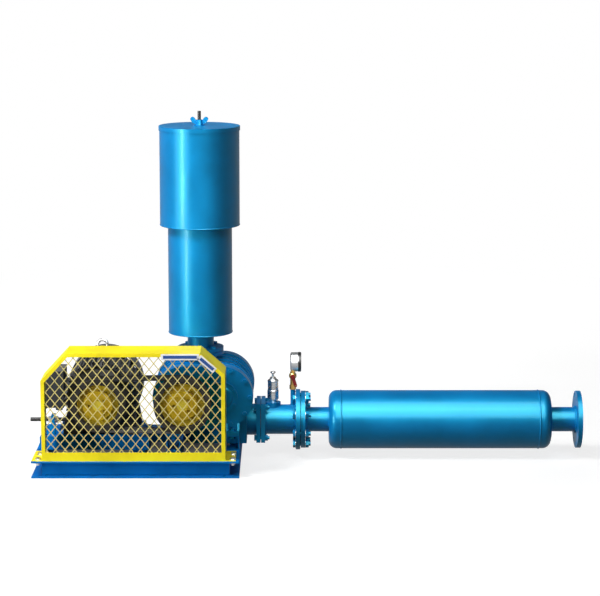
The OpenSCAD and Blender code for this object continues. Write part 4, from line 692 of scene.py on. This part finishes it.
def gauge_dial():
    """White dial with its scale of ticks and numbers."""
    low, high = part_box("gauge_case")
    mid = (low + high) / 2
    r = (high.z - low.z) / 2
    x = low.x + DIAL_AT
    face = Shape()
    profile = [(0.0, 0.0), (0.0, DIAL_T), (r - 0.0052, DIAL_T), (r - 0.0048, 0.0)]
    face.turned((x, mid.y, mid.z), LINE_AXIS, profile, 64)
    dial = paint("dial_white", (0.9, 0.9, 0.88), rough=0.5, peel=0.05, coat=0.0)
    face.make("gauge_dial", dial, "root", "gauge_steel")
    marks = Shape()
    centre = Vector((x + MARK_RISE, mid.y, mid.z))
    for i in range(TICKS + 1):
        a = math.radians(SCALE_START - SCALE_SWEEP * i / TICKS)
        long = i % TICKS_PER_NUMBER == 0
        inner, outer = r - (0.0125 if long else 0.0095), r - 0.007
        half = 0.00055 if long else 0.00025
        u, v = Vector((0, math.cos(a), math.sin(a))), Vector((0, -math.sin(a), math.cos(a)))
        corners = ((inner, -half), (outer, -half), (outer, half), (inner, half))
        quad = [centre + u * p + v * q for p, q in corners]
        marks.rings([[q - Vector((0.0005, 0, 0)) for q in quad], quad])
    marks.make("dial_marks", LOOKS["black_plastic"], "root", "gauge_steel", smooth=False)
    reach = r - 0.0165
    for i in range(TICKS // TICKS_PER_NUMBER + 1):
        a = math.radians(SCALE_START - SCALE_SWEEP * i * TICKS_PER_NUMBER / TICKS)
        label = str(i * NUMBER_STEP)
        data = bpy.data.curves.new("dial_number_" + label, "FONT")
        data.body = label
        data.size = 0.0075
        data.align_x, data.align_y = "CENTER", "CENTER"
        data.extrude = 0.0002
        number = bpy.data.objects.new("dial_number_" + label, data)
        bpy.context.scene.collection.objects.link(number)
        number.rotation_euler = (math.radians(90), 0, math.radians(90))
        number.location = centre + Vector((0, math.cos(a), math.sin(a))) * reach
        data.materials.append(LOOKS["black_plastic"])
        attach(number, "root")


gauge_dial()


def soft_spring():
    """The relief valve's spring as a piece of its own on the root body."""
    coil = bpy.data.objects.new("relief_spring_coil", NODES["relief_spring"].data.copy())
    bpy.context.scene.collection.objects.link(coil)
    dress(coil, LOOKS[RECORD_SLOT["relief_spring"]])
    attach(coil, "root")
    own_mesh(coil)
    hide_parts("relief_spring")


soft_spring()


# Stage, lights and camera

WHITE = (1, 1, 1, 1)
FLOOR_X = 0.6
REFLECTED_SHARE = 0.4


def seen_directly(tree, path):
    """1 where the background is seen directly or through glass."""
    return maths(tree, "MAXIMUM", path.outputs["Is Camera Ray"], path.outputs["Is Transmission Ray"])


def seen_share(tree, path):
    """As above, less in reflections, and 0 where the background would light the object."""
    shine = maths(tree, "MULTIPLY", path.outputs["Is Glossy Ray"], REFLECTED_SHARE)
    return maths(tree, "MAXIMUM", seen_directly(tree, path), shine)


def floor_glow_and_painted_shadow(tree, coords):
    """Lifts the floor to white round the object; inside the frame of the base it stays dim as a painted
    shadow under the machine.
    """
    place = add(tree, "ShaderNodeSeparateXYZ", {"Vector": coords})
    low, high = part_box("base_long_rails")
    mid, half = (low + high) / 2, (high - low) / 2
    outside = []
    for axis, shift, reach in (("X", FLOOR_X - mid.x, half.x - 0.02), ("Y", -mid.y, half.y - 0.02)):
        away = maths(tree, "ABSOLUTE", maths(tree, "ADD", place.outputs[axis], shift))
        outside.append(maths(tree, "SUBTRACT", away, reach))
    # Outside the base's frame the floor glows at 0.76; inside it drops to 0.03, a painted shadow under the
    # machine.
    strength = add(tree, "ShaderNodeMapRange", {"Value": maths(tree, "MAXIMUM", *outside), "From Min": -0.01,
                                                "From Max": 0.01, "To Min": 0.03, "To Max": 0.76}).outputs[0]
    return add(tree, "ShaderNodeEmission", {"Color": WHITE, "Strength": strength}).outputs[0]


def stage():
    """Pale floor that keeps the shadow near the object, with a painted shadow inside the base's frame, and
    runs out into a white background.
    """
    material, tree, coords = start("pale_floor")
    path = add(tree, "ShaderNodeLightPath")
    away = add(tree, "ShaderNodeVectorMath", {0: coords}, operation="LENGTH").outputs["Value"]
    far = add(tree, "ShaderNodeMapRange", {"Value": away, "From Min": 1.6, "From Max": 4.5}).outputs[0]
    grain = ramp(tree, noise(tree, coords, 2.0), [(0.3, (0.29, 0.29, 0.29)), (0.7, (0.32, 0.32, 0.32))])
    diffuse = add(tree, "ShaderNodeBsdfDiffuse", {"Color": grain}).outputs[0]
    dim = add(tree, "ShaderNodeBsdfDiffuse", {"Color": rgb((0.06, 0.06, 0.06))}).outputs[0]
    near = add(tree, "ShaderNodeAddShader", {0: diffuse, 1: floor_glow_and_painted_shadow(tree, coords)}).outputs[0]
    white = add(tree, "ShaderNodeEmission", {"Color": WHITE, "Strength": 1.0}).outputs[0]
    seen = add(tree, "ShaderNodeMixShader", {0: far, 1: near, 2: white}).outputs[0]
    both = add(tree, "ShaderNodeMixShader", {0: seen_share(tree, path), 1: dim, 2: seen}).outputs[0]
    add(tree, "ShaderNodeOutputMaterial", {"Surface": both})
    corners = [(-60, -60, 0), (60, -60, 0), (60, 120, 0), (-60, 120, 0)]
    floor = piece("floor", corners, [(0, 1, 2, 3)], material, None, smooth=False)
    floor.location = (FLOOR_X, 0.0, 0.0)


def studio_world():
    """White where it is seen, white near the horizon in reflections, and next to nothing as a light."""
    world = bpy.data.worlds.new("studio")
    bpy.context.scene.world = world
    world.use_nodes = True
    tree = world.node_tree
    tree.nodes.clear()
    path = add(tree, "ShaderNodeLightPath")
    way = add(tree, "ShaderNodeTexCoord").outputs["Generated"]
    height = add(tree, "ShaderNodeSeparateXYZ", {"Vector": way}).outputs["Z"]
    near_horizon = add(tree, "ShaderNodeMapRange", {"Value": height, "From Min": 0.02, "From Max": 0.2,
                                                    "To Min": 1.0, "To Max": 0.12}).outputs[0]
    shone = maths(tree, "MULTIPLY", near_horizon, seen_share(tree, path))
    direct = maths(tree, "MAXIMUM", seen_directly(tree, path), shone)
    soft = add(tree, "ShaderNodeBackground", {"Color": (0.86, 0.93, 1.0, 1), "Strength": 0.015}).outputs[0]
    white = add(tree, "ShaderNodeBackground", {"Color": WHITE, "Strength": 1.0}).outputs[0]
    both = add(tree, "ShaderNodeMixShader", {0: direct, 1: soft, 2: white}).outputs[0]
    add(tree, "ShaderNodeOutputWorld", {"Surface": both})


def lamp_from(name, azimuth, elevation, distance, size, level, target=(0.6, 0, 0.45), shine=True, fill=True):
    """A soft lamp aimed at the object, which the camera doesn't see.

    Azimuth runs from the front to the left. A white surface square to the lamp renders at the level given.
    Without shine the lamp stays out of the highlights, and without fill it only makes them.
    """
    turn, rise = math.radians(azimuth), math.radians(elevation)
    way = Vector((-math.sin(turn) * math.cos(rise), -math.cos(turn) * math.cos(rise), math.sin(rise)))
    data = bpy.data.lights.new(name, "AREA")
    data.shape = "RECTANGLE"
    data.size, data.size_y = size
    data.energy = level * (math.pi * distance) ** 2
    lamp = bpy.data.objects.new(name, data)
    bpy.context.scene.collection.objects.link(lamp)
    lamp.location = Vector(target) + way * distance
    lamp.rotation_euler = (-way).to_track_quat("-Z", "Y").to_euler()
    lamp.visible_camera = False
    lamp.visible_glossy = shine
    lamp.visible_diffuse = fill


stage()
studio_world()
lamp_from("key", 60.7, 48.0, 5.0, (1.3, 1.3), 0.95)
lamp_from("side_box", 52.0, 2.0, 4.0, (0.5, 1.6), 0.5)
lamp_from("front_strip", 0.0, 52.0, 4.0, (3.0, 0.6), 0.27, target=(0.5, 0, 0.3))
lamp_from("side_shine", 53.0, 4.0, 4.0, (2.9, 1.9), 0.5, fill=False)
lamp_from("front_shine", 0.0, 50.0, 4.0, (3.6, 5.2), 3.5, target=(0.8, 0, 0.3), fill=False)
lamp_from("back_fill", 180.0, 22.0, 5.0, (3.0, 1.6), 0.4, shine=False)

# About 8 m in front of the pipe and looking down by CAMERA_TILT degrees, as in the photograph
CAMERA_TILT = 9.698
camera_data = bpy.data.cameras.new("camera")
camera_data.sensor_width = 36.0
camera_data.lens = 135.6
camera_data.shift_x = 0.015
camera = bpy.data.objects.new("camera", camera_data)
camera.location = (0.5465, -8.002, 1.9592)
camera.rotation_euler = (math.radians(90 - CAMERA_TILT), 0, 0)
bpy.context.scene.collection.objects.link(camera)
bpy.context.scene.camera = camera
bpy.context.scene.view_settings.view_transform = "Standard"
